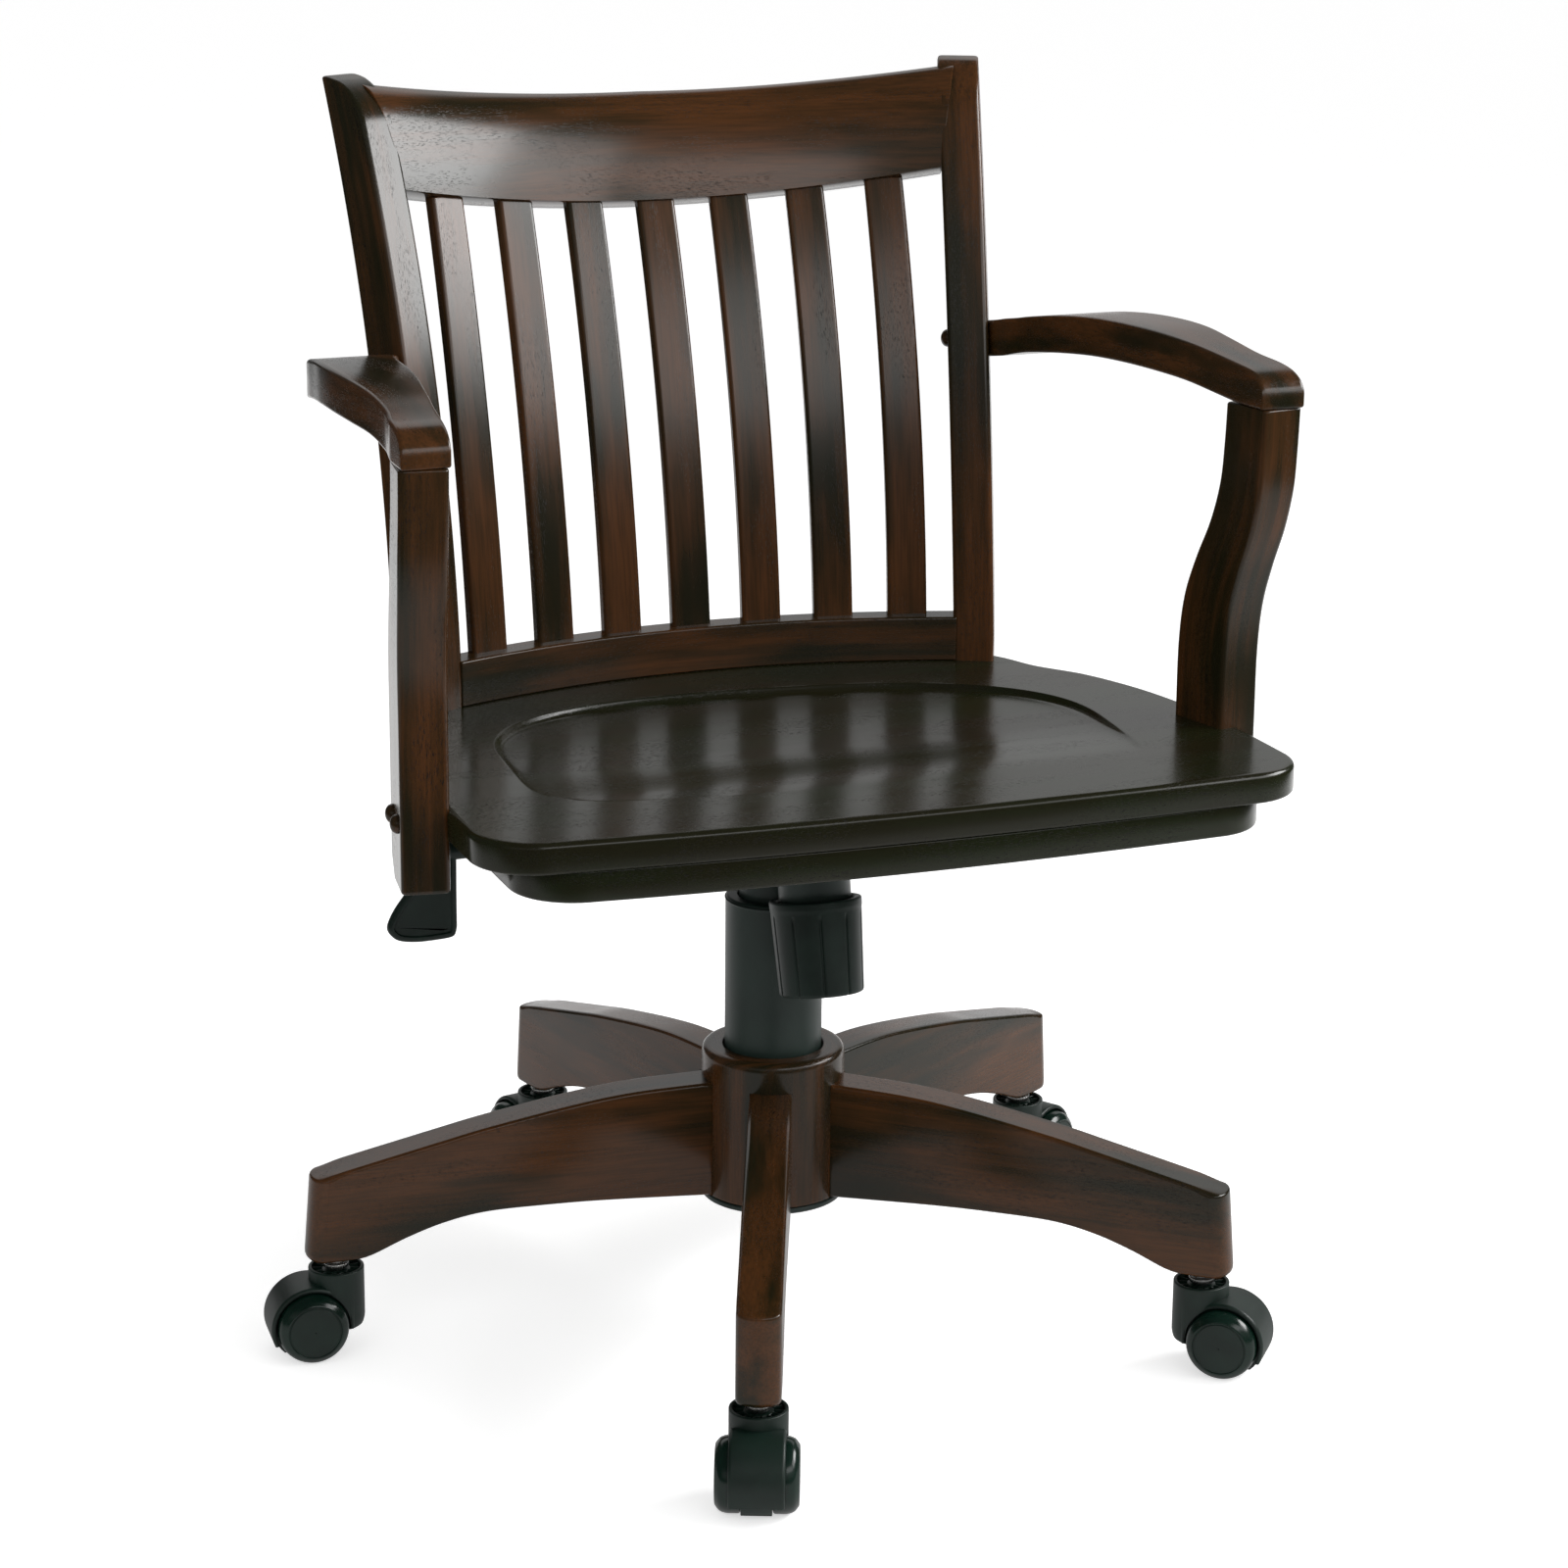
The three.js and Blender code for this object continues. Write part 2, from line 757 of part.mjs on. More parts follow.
function armRest() {
  return loft(
    armShares.map(([along, inner, outer, top, under]) => {
      const y = armRear - armLength * along;
      const x0 = seatHalfWidth - armSweep * inner;
      const x1 = seatHalfWidth + armSweep * outer;
      const z0 = armUnderside + armThick * under;
      const z1 = armUnderside + armThick * top;
      const e = Math.min(armEdge, (z1 - z0) / 3);
      return [
        v3(x0 + e / 3, y, z0),
        v3(x1 - e / 3, y, z0),
        v3(x1, y, z0 + e / 3),
        v3(x1, y, z1 - e),
        v3(x1 - e * 0.3, y, z1 - e * 0.3),
        v3(x1 - e, y, z1),
        v3(x0 + e, y, z1),
        v3(x0 + e * 0.3, y, z1 - e * 0.3),
        v3(x0, y, z1 - e),
        v3(x0, y, z0 + e / 3),
      ];
    }),
  );
}

const armGeometry = cut(armRest(), postTools[0]);
add(upper, "armrest_right", armGeometry, wood);
add(upper, "armrest_left", mirrored(armGeometry.clone()), wood);

const drilledPost = cut(
  armPost(0),
  ...[0, 1].map((i) => alongPost(boltHole(), boltLine(i))),
);
add(upper, "arm_post_right", drilledPost, wood);
add(upper, "arm_post_left", mirrored(drilledPost.clone()), wood);

for (const i of [0, 1]) {
  const g = alongPost(boltGeometry(), boltLine(i));
  const end = i === 0 ? "front" : "rear";
  add(upper, "arm_bolt_right_" + end, g, blackSteel);
  add(upper, "arm_bolt_left_" + end, mirrored(g.clone()), blackSteel);
}

// Mounting plate with two cheeks that carry the tilt pin

const plateTopZ = apronFoot - gap;
const plateFoot = plateTopZ - plateThick;
const cheekX = housingHalfWidth + gap;
const cheek = (side) => {
  const a = side * cheekX;
  const b = side * (cheekX + cheekThick);
  return block(
    Math.min(a, b),
    Math.max(a, b),
    -pivotY - cheekLength / 2,
    -pivotY + cheekLength / 2,
    plateTopZ - cheekDrop,
    plateTopZ - plateThick / 2,
  );
};
const acrossPin = (g) => g.rotateY(Math.PI / 2).translate(0, -pivotY, pivotZ);
const pinReach = cheekX + cheekThick + gap;
const pinHole = acrossPin(rod(pinRadius + gap, -pinReach - overrun, pinReach + overrun, 24));

// The tension bolt's own frame: origin at the knob's mouth, local +Z up along the bolt.
const tensionFrame = (g) => g.rotateX(-tensionTilt).translate(0, -tensionY, knobMouthZ);
const headSeat = (plateTopZ - knobMouthZ) / Math.cos(tensionTilt) + boltHeadRadius * Math.tan(tensionTilt) + gap;

// A tool carried round the tilt pin, as the seat carries its pieces (back is positive).
const aboutPin = (g, angle) =>
  g.translate(0, pivotY, -pivotZ).rotateX(-angle).translate(0, -pivotY, pivotZ);
// The plate swings past the bolt, so the bolt's hole is cut at several angles of the swing.
const swingShares = [0, 1 / 3, 2 / 3, 1];
const boltSlots = swingShares.map((share) =>
  aboutPin(tensionFrame(rod(boltRadius + knobGroove / 2, 0, headSeat + overrun, 16)), -seatTilt * share),
);

add(
  upper,
  "mounting_plate",
  cut(
    join(
      block(-plateWidth / 2, plateWidth / 2, -plateFront, plateRear, plateFoot, plateTopZ),
      cheek(-1),
      cheek(1),
    ),
    pinHole.clone(),
    ...boltSlots,
  ),
  blackSteel,
);

// Tilt housing: a casting between the cheeks, on the taper of the gas cylinder

const housingBlock = block(
  -housingHalfWidth,
  housingHalfWidth,
  -housingFront,
  housingRear,
  housingBottom,
  housingTop,
);
const leverRoom = block(
  -housingHalfWidth + housingWall,
  neckRadius + housingWall,
  -neckRadius,
  neckRadius,
  neckTop,
  housingTop + overrun,
);
const leverHole = rod(leverRadius + gap, -housingHalfWidth - overrun, 0, 24)
  .rotateY(Math.PI / 2)
  .translate(0, leverY, leverZ);
const plateRoom = aboutPin(
  block(
    -plateWidth,
    plateWidth,
    -housingFront - housingWall,
    housingRear + housingWall,
    plateFoot - gap * 4,
    plateTopZ + cheekDrop,
  ),
  seatTilt,
);
const boss = tensionFrame(rod(bossRadius, -bossDepth, bossRise));
const frontRoom = block(
  -housingHalfWidth - overrun,
  housingHalfWidth + overrun,
  -housingFront - overrun,
  -housingStep,
  housingBottom - overrun,
  housingBottom + housingStepRise,
);
const knobRoom = tensionFrame(rod(knobRadius + knobClear, -knobHeight, knobClear));
add(
  upper,
  "tilt_housing",
  cut(
    join(cut(housingBlock, knobRoom, plateRoom, frontRoom), boss),
    rod(neckRadius + gap, housingBottom - overrun, neckTop + gap),
    leverRoom,
    leverHole,
    pinHole,
    tensionFrame(rod(boltRadius + gap, -knobHeight, headSeat + overrun, 24)),
  ),
  blackSteel,
);

add(
  upper,
  "tilt_pin",
  acrossPin(
    turned(
      [
        [pinHead, -pinReach - pinHeadThick],
        [pinHead, -pinReach],
        [pinRadius, -pinReach],
        [pinRadius, pinReach],
        [pinHead, pinReach],
        [pinHead, pinReach + pinHeadThick],
      ],
      24,
    ),
  ),
  brightSteel,
);

// Tension bolt, spring and knob

const knobInner = knobFloor - knobHeight; // height of the knob's floor in the bolt's frame
const tension = new THREE.Group();
tension.position.set(0, -tensionY, knobMouthZ);
tension.rotation.x = -tensionTilt;
upper.add(tension);
add(
  tension,
  "tension_bolt",
  turned(
    [
      [boltRadius, knobInner - knobFloor / 2],
      [boltRadius, headSeat],
      [boltHeadRadius, headSeat],
      [boltHeadRadius, headSeat + boltHeadThick],
    ],
    24,
  ),
  brightSteel,
);

function knobGeometry() {
  const steps = knobGrooves * 4;
  const ring = (radius, z, ribbed) =>
    [...Array(steps).keys()].map((i) => {
      const a = (i / steps) * 2 * Math.PI;
      const r = radius - (ribbed && i % 4 === 2 ? knobGroove : 0);
      return v3(r * Math.cos(a), r * Math.sin(a), z);
    });
  const body = loft([
    ring(knobFootRadius - knobWall / 2, -knobHeight, false),
    ring(knobFootRadius, -knobHeight + knobWall / 2, true),
    ring(knobRadius, -knobWall / 2, true),
    ring(knobRadius - knobWall / 4, 0, false),
  ]);
  return cut(
    body,
    rod(bossRadius + gap * 4, knobInner, overrun),
    rod(boltRadius + gap, knobInner - knobFloor / 2 - gap, overrun, 24),
  );
}
add(tension, "tension_knob", knobGeometry(), blackPlastic);
add(
  tension,
  "tension_spring",
  turnedRing([
    [springRadius - springWall, knobInner + gap],
    [springRadius, knobInner + gap],
    [springRadius, -bossDepth - gap],
    [springRadius - springWall, -bossDepth - gap],
  ]),
  brightSteel,
);

// Lever: the rod lies across the top of the gas cylinder's button

add(
  upper,
  "lever_rod",
  rod(leverRadius, -leverEnd, leverInner, 20).rotateY(Math.PI / 2).translate(0, leverY, leverZ),
  blackSteel,
);

// [share across from the inner edge, share up from the foot]
const paddleShares = [
  [0, 0.12],
  [0.1, 0.02],
  [0.57, 0],
  [0.88, 0.05],
  [1, 0.16],
  [0.93, 0.3],
  [0.67, 0.55],
  [0.45, 0.77],
  [0.34, 0.94],
  [0.26, 1],
  [0.05, 1],
  [0, 0.94],
];
const paddleHubRadius = leverRadius + paddleWall;
const paddleHeight = paddleDrop + leverRadius + paddleHubRadius;
const paddle = slab(
  paddleShares.map(([a, b]) => v2(-a * paddleWidth, b * paddleHeight)),
  0,
  paddleThick,
);
paddle.rotateX(Math.PI / 2);
paddle.translate(-leverEnd + paddleInset, leverY + paddleThick / 2, leverZ - leverRadius - paddleDrop);
const paddleHub = rod(paddleHubRadius, -leverEnd - paddleInset, -leverEnd + paddleInset * 3, 20)
  .rotateY(Math.PI / 2)
  .translate(0, leverY, leverZ);
add(
  upper,
  "lever_paddle",
  cut(
    join(paddle, paddleHub),
    rod(leverRadius + gap, -leverEnd - gap, 0, 20).rotateY(Math.PI / 2).translate(0, leverY, leverZ),
  ),
  blackPlastic,
);

// Column

const base = new THREE.Group();
chair.add(base);

const tubeBore = cylinderRadius + gap;
add(
  base,
  "column_outer_tube",
  turnedRing([
    [rodRadius + gap, tubeFootZ],
    [tubeRadius, tubeFootZ],
    [tubeRadius, tubeTop - tubeRimHeight],
    [tubeRimRadius, tubeTop - tubeRimHeight],
    [tubeRimRadius, tubeTop - bushLip - gap],
    [tubeBore + bushWall + gap, tubeTop - bushLip - gap],
    [tubeBore + bushWall + gap, tubeTop - bushHeight],
    [tubeBore, tubeTop - bushHeight],
    [tubeBore, tubeFootZ + rodFloor],
    [rodRadius + gap, tubeFootZ + rodFloor],
  ]),
  blackSteel,
);
add(
  base,
  "column_guide_bush",
  turnedRing([
    [tubeBore, tubeTop - bushHeight + gap],
    [tubeBore + bushWall, tubeTop - bushHeight + gap],
    [tubeBore + bushWall, tubeTop - bushLip],
    [tubeRimRadius, tubeTop - bushLip],
    [tubeRimRadius, tubeTop],
    [tubeBore, tubeTop],
  ]),
  blackPlastic,
);
add(
  base,
  "piston_rod",
  turned(
    [
      [rodRadius + bushLip, tubeFootZ - bushLip - gap],
      [rodRadius + bushLip, tubeFootZ - gap],
      [rodRadius, tubeFootZ - gap],
      [rodRadius, rodTop],
    ],
    24,
  ),
  brightSteel,
);
add(
  chair,
  "gas_cylinder",
  turned([
    [0, rodTop + overrun],
    [rodRadius + gap, rodTop + overrun],
    [rodRadius + gap, cylinderFoot],
    [cylinderRadius, cylinderFoot],
    [cylinderRadius, cylinderShoulder],
    [neckRadius, cylinderShoulder],
    [neckRadius, neckTop - gap],
    [buttonRadius, neckTop - gap],
    [buttonRadius, buttonTop],
  ]),
  blackSteel,
);

// Hub and legs

add(
  base,
  "base_hub",
  turnedRing([
    [tubeRadius + gap, hubBottom],
    [hubRadius, hubBottom],
    [hubRadius, hubTop - hubRound],
    [hubRadius - hubRound * 0.3, hubTop - hubRound * 0.3],
    [hubRadius - hubRound, hubTop],
    [tubeRadius + gap, hubTop],
  ]),
  wood,
);
add(
  base,
  "hub_disc",
  turnedRing([
    [rodRadius + bushLip + gap, hubBottom - gap - discThick],
    [hubRadius, hubBottom - gap - discThick],
    [hubRadius, hubBottom - gap],
    [rodRadius + bushLip + gap, hubBottom - gap],
  ]),
  blackSteel,
);

// [share of the way from the hub to the tip, share of the height]: a leg's upper and lower edges
const legTopShares = [
  [0, 1],
  [0.188, 0.96],
  [0.341, 0.85],
  [0.553, 0.64],
  [0.776, 0.31],
  [0.906, 0.1],
  [0.965, 0],
];
const legLowShares = [
  [0, 0],
  [0.259, 0.78],
  [0.412, 1],
  [0.565, 0.97],
  [0.671, 0.68],
  [0.765, 0.42],
  [0.859, 0.09],
  [0.918, 0],
];

function legGeometry() {
  const legRoot = hubRadius - legRootDepth;
  const upperEdge = new THREE.SplineCurve(
    legTopShares.map(([a, b]) => v2(mix(legRoot, legReach, a), mix(legTipTop, legHubTop, b))),
  ).getPoints(10);
  const arch = legLowShares.map(([a, b]) => {
    const foot = a < 0.4 ? legHubBottom : legTipBottom;
    return v2(mix(legRoot, legReach, a), mix(foot, legArchTop, b));
  });
  const lowerEdge = new THREE.SplineCurve(arch).getPoints(12);
  const outline = [
    ...lowerEdge,
    v2(legReach - legEdge, legTipBottom),
    v2(legReach, legTipBottom + legEdge),
    v2(legReach, legTipTop - legEdge * 2),
    ...upperEdge.reverse(),
  ];
  const g = new THREE.ExtrudeGeometry(new THREE.Shape(outline), {
    depth: legWidth,
    bevelEnabled: false,
  });
  g.rotateX(Math.PI / 2);
  g.translate(0, legWidth / 2, 0);
  return cut(
    g,
    rod(hubRadius + gap, 0, hubTop, roundSteps * 2),
    rod(stemRadius + gap, legTipBottom - overrun, legTipBottom + stemLength + gap, 12).translate(stemCircle, 0, 0),
  );
}

// Casters

// The hood seen from its side, with its wheels' axle at the origin and the stem at +casterTrail.
function hoodGeometry() {
  const inner = wheelRadius + hoodClear;
  const outer = inner + hoodWall;
  const upright = (g) => g.rotateX(Math.PI / 2);
  const web = new THREE.Shape();
  const low = Math.asin((wheelRadius - hoodFootClear) / inner);
  web.absarc(0, 0, inner + hoodWall / 2, -low, Math.PI + low, false);
  const webSolid = upright(
    new THREE.ExtrudeGeometry(web, { depth: hoodWeb, bevelEnabled: false, curveSegments: 8 }),
  ).translate(0, hoodWeb / 2, 0);
  const band = new THREE.Shape();
  const from = rad(-8);
  const to = rad(205);
  band.absarc(0, 0, outer, from, to, false);
  band.absarc(0, 0, inner, to, from, true);
  const bandSolid = upright(
    new THREE.ExtrudeGeometry(band, { depth: hoodWidth, bevelEnabled: false, curveSegments: 8 }),
  ).translate(0, hoodWidth / 2, 0);
  const axle = rod(axleRadius, -hoodWeb / 2 - wheelWidth + wheelDome, hoodWeb / 2 + wheelWidth - wheelDome, 12);
  axle.rotateX(Math.PI / 2);
  const top = socketTop - wheelRadius;
  const socket = rod(socketRadius, socketFoot - wheelRadius, top, 24).translate(casterTrail, 0, 0);
  const recess = turnedRing(
    [
      [stemCollarRadius, top - socketRecess],
      [socketRadius - socketWall, top - socketRecess],
      [socketRadius - socketWall, top + overrun],
      [stemCollarRadius, top + overrun],
    ],
    16,
  ).translate(casterTrail, 0, 0);
  const clear = socketTop - wheelRadius + overrun;
  return cut(
    join(webSolid, bandSolid, axle, cutSocket(socket)),
    recess,
    rod(stemRadius + gap, clear - overrun - stemDepth, clear, 12).translate(casterTrail, 0, 0),
  );
}

// The socket's foot ends on the web, clear of the wheels beside it.
function cutSocket(socket) {
  const inner = wheelRadius + hoodClear;
  const wheelRoom = (side) => {
    const g = rod(inner, hoodWeb / 2, hoodWidth, 24).rotateX(-Math.PI / 2);
    return side > 0 ? g : g.rotateZ(Math.PI);
  };
  return cut(socket, wheelRoom(1), wheelRoom(-1));
}

function wheelGeometry() {
  const w = wheelWidth;
  return turnedRing(
    [
      [wheelBore, 0],
      [wheelRadius - wheelDome / 4, 0],
      [wheelRadius, wheelDome / 4],
      [wheelRadius, w - wheelDome * 1.2],
      [wheelRadius - wheelDome * 0.5, w - wheelDome * 0.35],
      [wheelRadius - wheelDome * 1.5, w],
      [wheelBore, w],
    ],
    24,
  );
}

function stemGeometry() {
  const foot = socketTop + gap;
  return turned(
    [
      [stemRadius, socketTop - stemDepth + gap],
      [stemRadius, foot],
      [stemCollarRadius, foot],
      [stemCollarRadius, foot + stemCollar],
      [stemRadius, foot + stemCollar],
      [stemRadius, legTipBottom + stemLength],
    ],
    12,
  );
}

const placeNames = ["front", "right", "rear_right", "rear_left", "left"];
placeNames.forEach((place, i) => {
  const turn = frontLegAngle + (i * 2 * Math.PI) / legCount;
  const arm = new THREE.Group();
  arm.rotation.z = turn;
  base.add(arm);
  add(arm, "leg_" + place, legGeometry(), wood);
  const stem = add(arm, "caster_stem_" + place, stemGeometry(), brightSteel);
  stem.position.x = stemCircle;

  const caster = new THREE.Group();
  caster.position.set(stemCircle * Math.cos(turn), stemCircle * Math.sin(turn), wheelRadius);
  caster.rotation.z = turn + Math.PI;
  chair.add(caster);
  const hood = add(caster, "caster_hood_" + place, hoodGeometry(), blackPlastic);
  hood.position.x = -casterTrail;
  for (const side of [1, -1]) {
    const name = "caster_wheel_" + place + (side > 0 ? "_a" : "_b");
    const wheel = add(caster, name, wheelGeometry(), blackPlastic);
    wheel.rotation.x = (-side * Math.PI) / 2;
    wheel.position.set(-casterTrail, side * (hoodWeb / 2 + gap), 0);
  }
});

// The origin is at the middle of the chair's footprint on the floor.
chair.updateMatrixWorld(true);
const bounds = new THREE.Box3().setFromObject(chair, true);
const footprint = bounds.getCenter(v3());
chair.position.set(-footprint.x, -footprint.y, -bounds.min.z);

export default chair;
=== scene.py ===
"""Bankers swivel chair: its wood, plastic and steel pieces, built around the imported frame."""

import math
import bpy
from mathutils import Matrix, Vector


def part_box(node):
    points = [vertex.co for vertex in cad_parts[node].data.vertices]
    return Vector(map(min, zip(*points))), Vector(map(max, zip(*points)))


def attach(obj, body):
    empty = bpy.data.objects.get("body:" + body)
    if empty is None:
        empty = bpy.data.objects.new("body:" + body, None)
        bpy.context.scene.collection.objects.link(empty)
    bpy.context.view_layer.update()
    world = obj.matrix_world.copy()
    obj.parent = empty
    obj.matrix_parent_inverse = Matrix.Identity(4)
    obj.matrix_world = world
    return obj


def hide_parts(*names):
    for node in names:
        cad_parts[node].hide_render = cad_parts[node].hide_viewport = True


bl_info = {"name": "Bankers Swivel Chair", "version": (1, 0, 0), "blender": (4, 5, 0),
    "location": "View3D > Sidebar > Chair",
    "description": "Builds the pieces of a slat-back wooden armchair on a five-legged swivel base",
    "category": "Add Mesh"}

import bmesh
import bpy
from bpy.props import FloatProperty, FloatVectorProperty, IntProperty, PointerProperty
from mathutils import Matrix, Vector

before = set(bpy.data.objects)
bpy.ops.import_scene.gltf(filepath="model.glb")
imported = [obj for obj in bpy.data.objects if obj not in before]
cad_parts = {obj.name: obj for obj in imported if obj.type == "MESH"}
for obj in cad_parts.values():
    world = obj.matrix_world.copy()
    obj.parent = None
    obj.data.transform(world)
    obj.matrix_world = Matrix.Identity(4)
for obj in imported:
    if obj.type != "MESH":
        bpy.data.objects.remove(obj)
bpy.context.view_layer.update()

# Lengths below are in millimetres in the chair's own frame: the column stands at x = y = 0, the floor
# at z = 0.
MM = 0.001
TUBE_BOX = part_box("column_outer_tube")
AXIS = (TUBE_BOX[0] + TUBE_BOX[1]) / 2

GAP = 0.3
SUPPORT = 0.5  # a ring this far from a rounded edge keeps the flat beside it flat
SHARP = math.radians(38)

# Seat
SEAT_TOP = 435
SLAB = 20.8
APRON = 21
SEAT_FRONT = 241
SEAT_REAR = 182
SEAT_HALF = 285
SEAT_OVERHANG = 4
SEAT_BOW = 9
SEAT_CORNER = 44
SEAT_SHIFT = 12
SEAT_TURN = math.radians(2)
APRON_INSET = 26
APRON_REAR_INSET = 11
APRON_FRONT_INSET = 2
SCOOP_HALF = 216
SCOOP_MIDDLE = 45
SCOOP_TURN = math.radians(6.5)
SCOOP_REAR = 91
SCOOP_FRONT = 172
SCOOP_FADE = 120
SCOOP_POWER = 2.5
SCOOP_STRAIGHT = 2.4  # times that power before the middle
# The carved edge starts with a small round, drops as a wall and runs out into the dish.
SCOOP_DEPTHS = ((0, 8.2), (0.25, 8.1), (0.5, 7.6), (0.7, 6.8), (0.85, 5.9), (0.94, 5.1), (0.968, 4.6),
    (0.98, 3.9), (0.989, 2.2), (0.9945, 0.7), (0.998, 0.1), (1, 0))
SCOOP_RINGS = (1.004, 1, 0.998, 0.9965, 0.9945, 0.992, 0.989, 0.9855, 0.98, 0.974, 0.966, 0.955, 0.94,
    0.92, 0.89, 0.85, 0.8, 0.74, 0.67, 0.6, 0.52, 0.44, 0.36, 0.28, 0.2, 0.12, 0.05)
FOOT_ROUND = 2.2
SIDE_SHARES = ((1, 0.2), (0.997, 0.3), (0.986, 0.4), (0.967, 0.5), (0.93, 0.6), (0.87, 0.7),
    (0.79, 0.78), (0.74, 0.86), (0.66, 0.925), (0.4, 0.98), (0, 1), (-0.4, 0.98))

# Back
BACK_TOP = 866
LEAN_FOOT = 450
LEAN_RISE = 400
LEAN_LINEAR = 28
LEAN_SQUARE = 60
POST_FOOT = 383
POST_HALF_SPAN = 190
POST_SPREAD = 19
POST_FRONT_Y = 115
POST_WIDTH = 30
POST_DEPTH = (43, 34)
POST_YAW = math.radians(27)
POST_TOP_ROUND = 30
RAIL_HEIGHT = 33
RAIL_DEPTH = 23
RAIL_FRONT_Y = 150
RAIL_SAG = 36
RAIL_TENON = 1.5  # of the rails' ends into the posts
CREST_FOOT = 769
CREST_FOOT_RISE = 21
CREST_HEIGHT = 74
CREST_HEIGHT_LOSS = 3
CREST_FRONT_Y = 230
CREST_SAG = 46
CREST_HALF_SPAN = 204
CREST_LEAN = 26
CREST_DEPTH = 22
CREST_FACE = ((0.14, 0.2), (0.31, 0.42), (0.5, 0.62), (0.68, 0.77), (0.88, 0.88), (1.1, 0.955),
    (1.36, 0.994), (1.62, 1))
CREST_BACK = ((0.8, 1.06, 0.985), (0.95, 1.08, 0.93), (0.96, 1, 0.84), (0.68, 1, 0.63), (0.4, 1, 0.42),
    (0.17, 1, 0.2))
SLAT_PITCH = (54, 55.8)
SLAT_WIDTH = (29.5, 28.5)
SLAT_THICK = 9
SLAT_FRONT = (158, 238)
SLAT_SAG = (22.5, 31)
SLAT_TENON = 10
SLAT_TOP = 772

# Arms
ARM_UNDER = 664
ARM_THICK = 33
ARM_FRONT = 160
ARM_REAR = 152
ARM_SWEEP = 57
ARM_POST_WIDTH = 32
ARM_POST_YAW = math.radians(10)
ARM_POST_FOOT = 379
ARM_POST_X = 280
ARM_POST_Y = 130
ARM_POST_DEPTH = (52, 43)
ARM_POST_FORWARD = 32
ARM_POST_OUT = 7
ARM_POST_HEEL = 14
ARM_BOLT_Z = 424
ARM_BOLT_INSET = 14
ARM_BOLT_PITCH = 24
BACK_BOLT_Z = 668
CAP_RADIUS = 6.5

# Base and column
FRONT_LEG = -114
HUB_BOTTOM = 91
HUB_TOP = 199
HUB_RADIUS = 51
HUB_ROUND = 8
DISC = 4
LEG_WIDTH = 30
LEG_REACH = 337
LEG_TIP_BULGE = 9
LEG_TIP_SLANT = 5
LEG_EDGE = 2.6
LEG_HUB_TOP = 177
LEG_HUB_BOTTOM = 92
LEG_TIP_TOP = 131
LEG_TIP_BOTTOM = 70.5
LEG_ARCH_TOP = 97
LEG_TOP_SHARES = ((0.13, 1.005), (0.15, 1), (0.31, 0.96), (0.44, 0.85), (0.62, 0.625), (0.72, 0.47),
    (0.81, 0.325), (0.92, 0.145), (0.97, 0.06), (1, 0.01))
LEG_FOOT_SHARES = ((0.13, -0.02), (0.15, 0), (0.37, 0.78), (0.5, 1), (0.63, 0.985), (0.72, 0.8),
    (0.8, 0.48), (0.88, 0.07), (0.93, 0), (1, 0))
STEM_CIRCLE = 318
TUBE_RADIUS = 34.5
TUBE_FOOT = 95
TUBE_TOP = 310
RIM_RADIUS = 35
RIM_HEIGHT = 3.6
BUSH_WALL = 5
BUSH_HEIGHT = 40
BUSH_LIP = 3
CYLINDER_RADIUS = 25
CYLINDER_FOOT = 112
SHOULDER = 334
NECK_RADIUS = 14
NECK_TOP = 355
BUTTON_RADIUS = 4
BUTTON_TOP = 361.2
ROD_RADIUS = 5
ROD_TOP = 300

# Tension knob, lever and plate
TENSION_TILT = math.radians(12)
TENSION_Y = 72
KNOB_MOUTH = 332
KNOB_HEIGHT = 66
KNOB_DROP = 4.5
KNOB_RADIUS = 32
KNOB_FOOT_RADIUS = 29.2
KNOB_FLOOR = 14
KNOB_GROOVES = 10
BOSS_RADIUS = 25
BOSS_DEPTH = 9
WIRE = 2.1
SPRING_ROOM = 4.2
LEVER_RADIUS = 4
LEVER_Z = 367
LEVER_END = 240
PADDLE_THICK = 7
PADDLE_WIDTH = 49
PADDLE_DROP = 58
PADDLE_WALL = 2.5
PADDLE_INSET = 5
PADDLE_SHARES = ((0, 0.12), (0.03, 0.04), (0.1, 0.01), (0.3, 0), (0.57, 0), (0.8, 0.025), (0.93, 0.075),
    (1, 0.16), (0.97, 0.25), (0.87, 0.375), (0.67, 0.56), (0.45, 0.77), (0.34, 0.93), (0.27, 1),
    (0.05, 1), (0, 0.94), (0, 0.5))
PLATE_FOOT = 389.6
PLATE_SCREWS = (62, 84)

# Casters
PLACES = ("front", "right", "rear_right", "rear_left", "left")
WHEEL_RADIUS = 25
WHEEL_WIDTH = 17
WHEEL_BORE = 3.4
HOOD_WEB = 20.4
HOOD_WIDTH = 37
HOOD_CLEAR = 1.2
HOOD_WALL = 3
CASTER_TRAIL = 20
SOCKET_RADIUS = 19.5
SOCKET_TOP = 63
SOCKET_WALL = 2.5
SOCKET_RECESS = 4
SOCKET_FOOT = 20
STEM_RADIUS = 5.5
STEM_COLLAR = 9

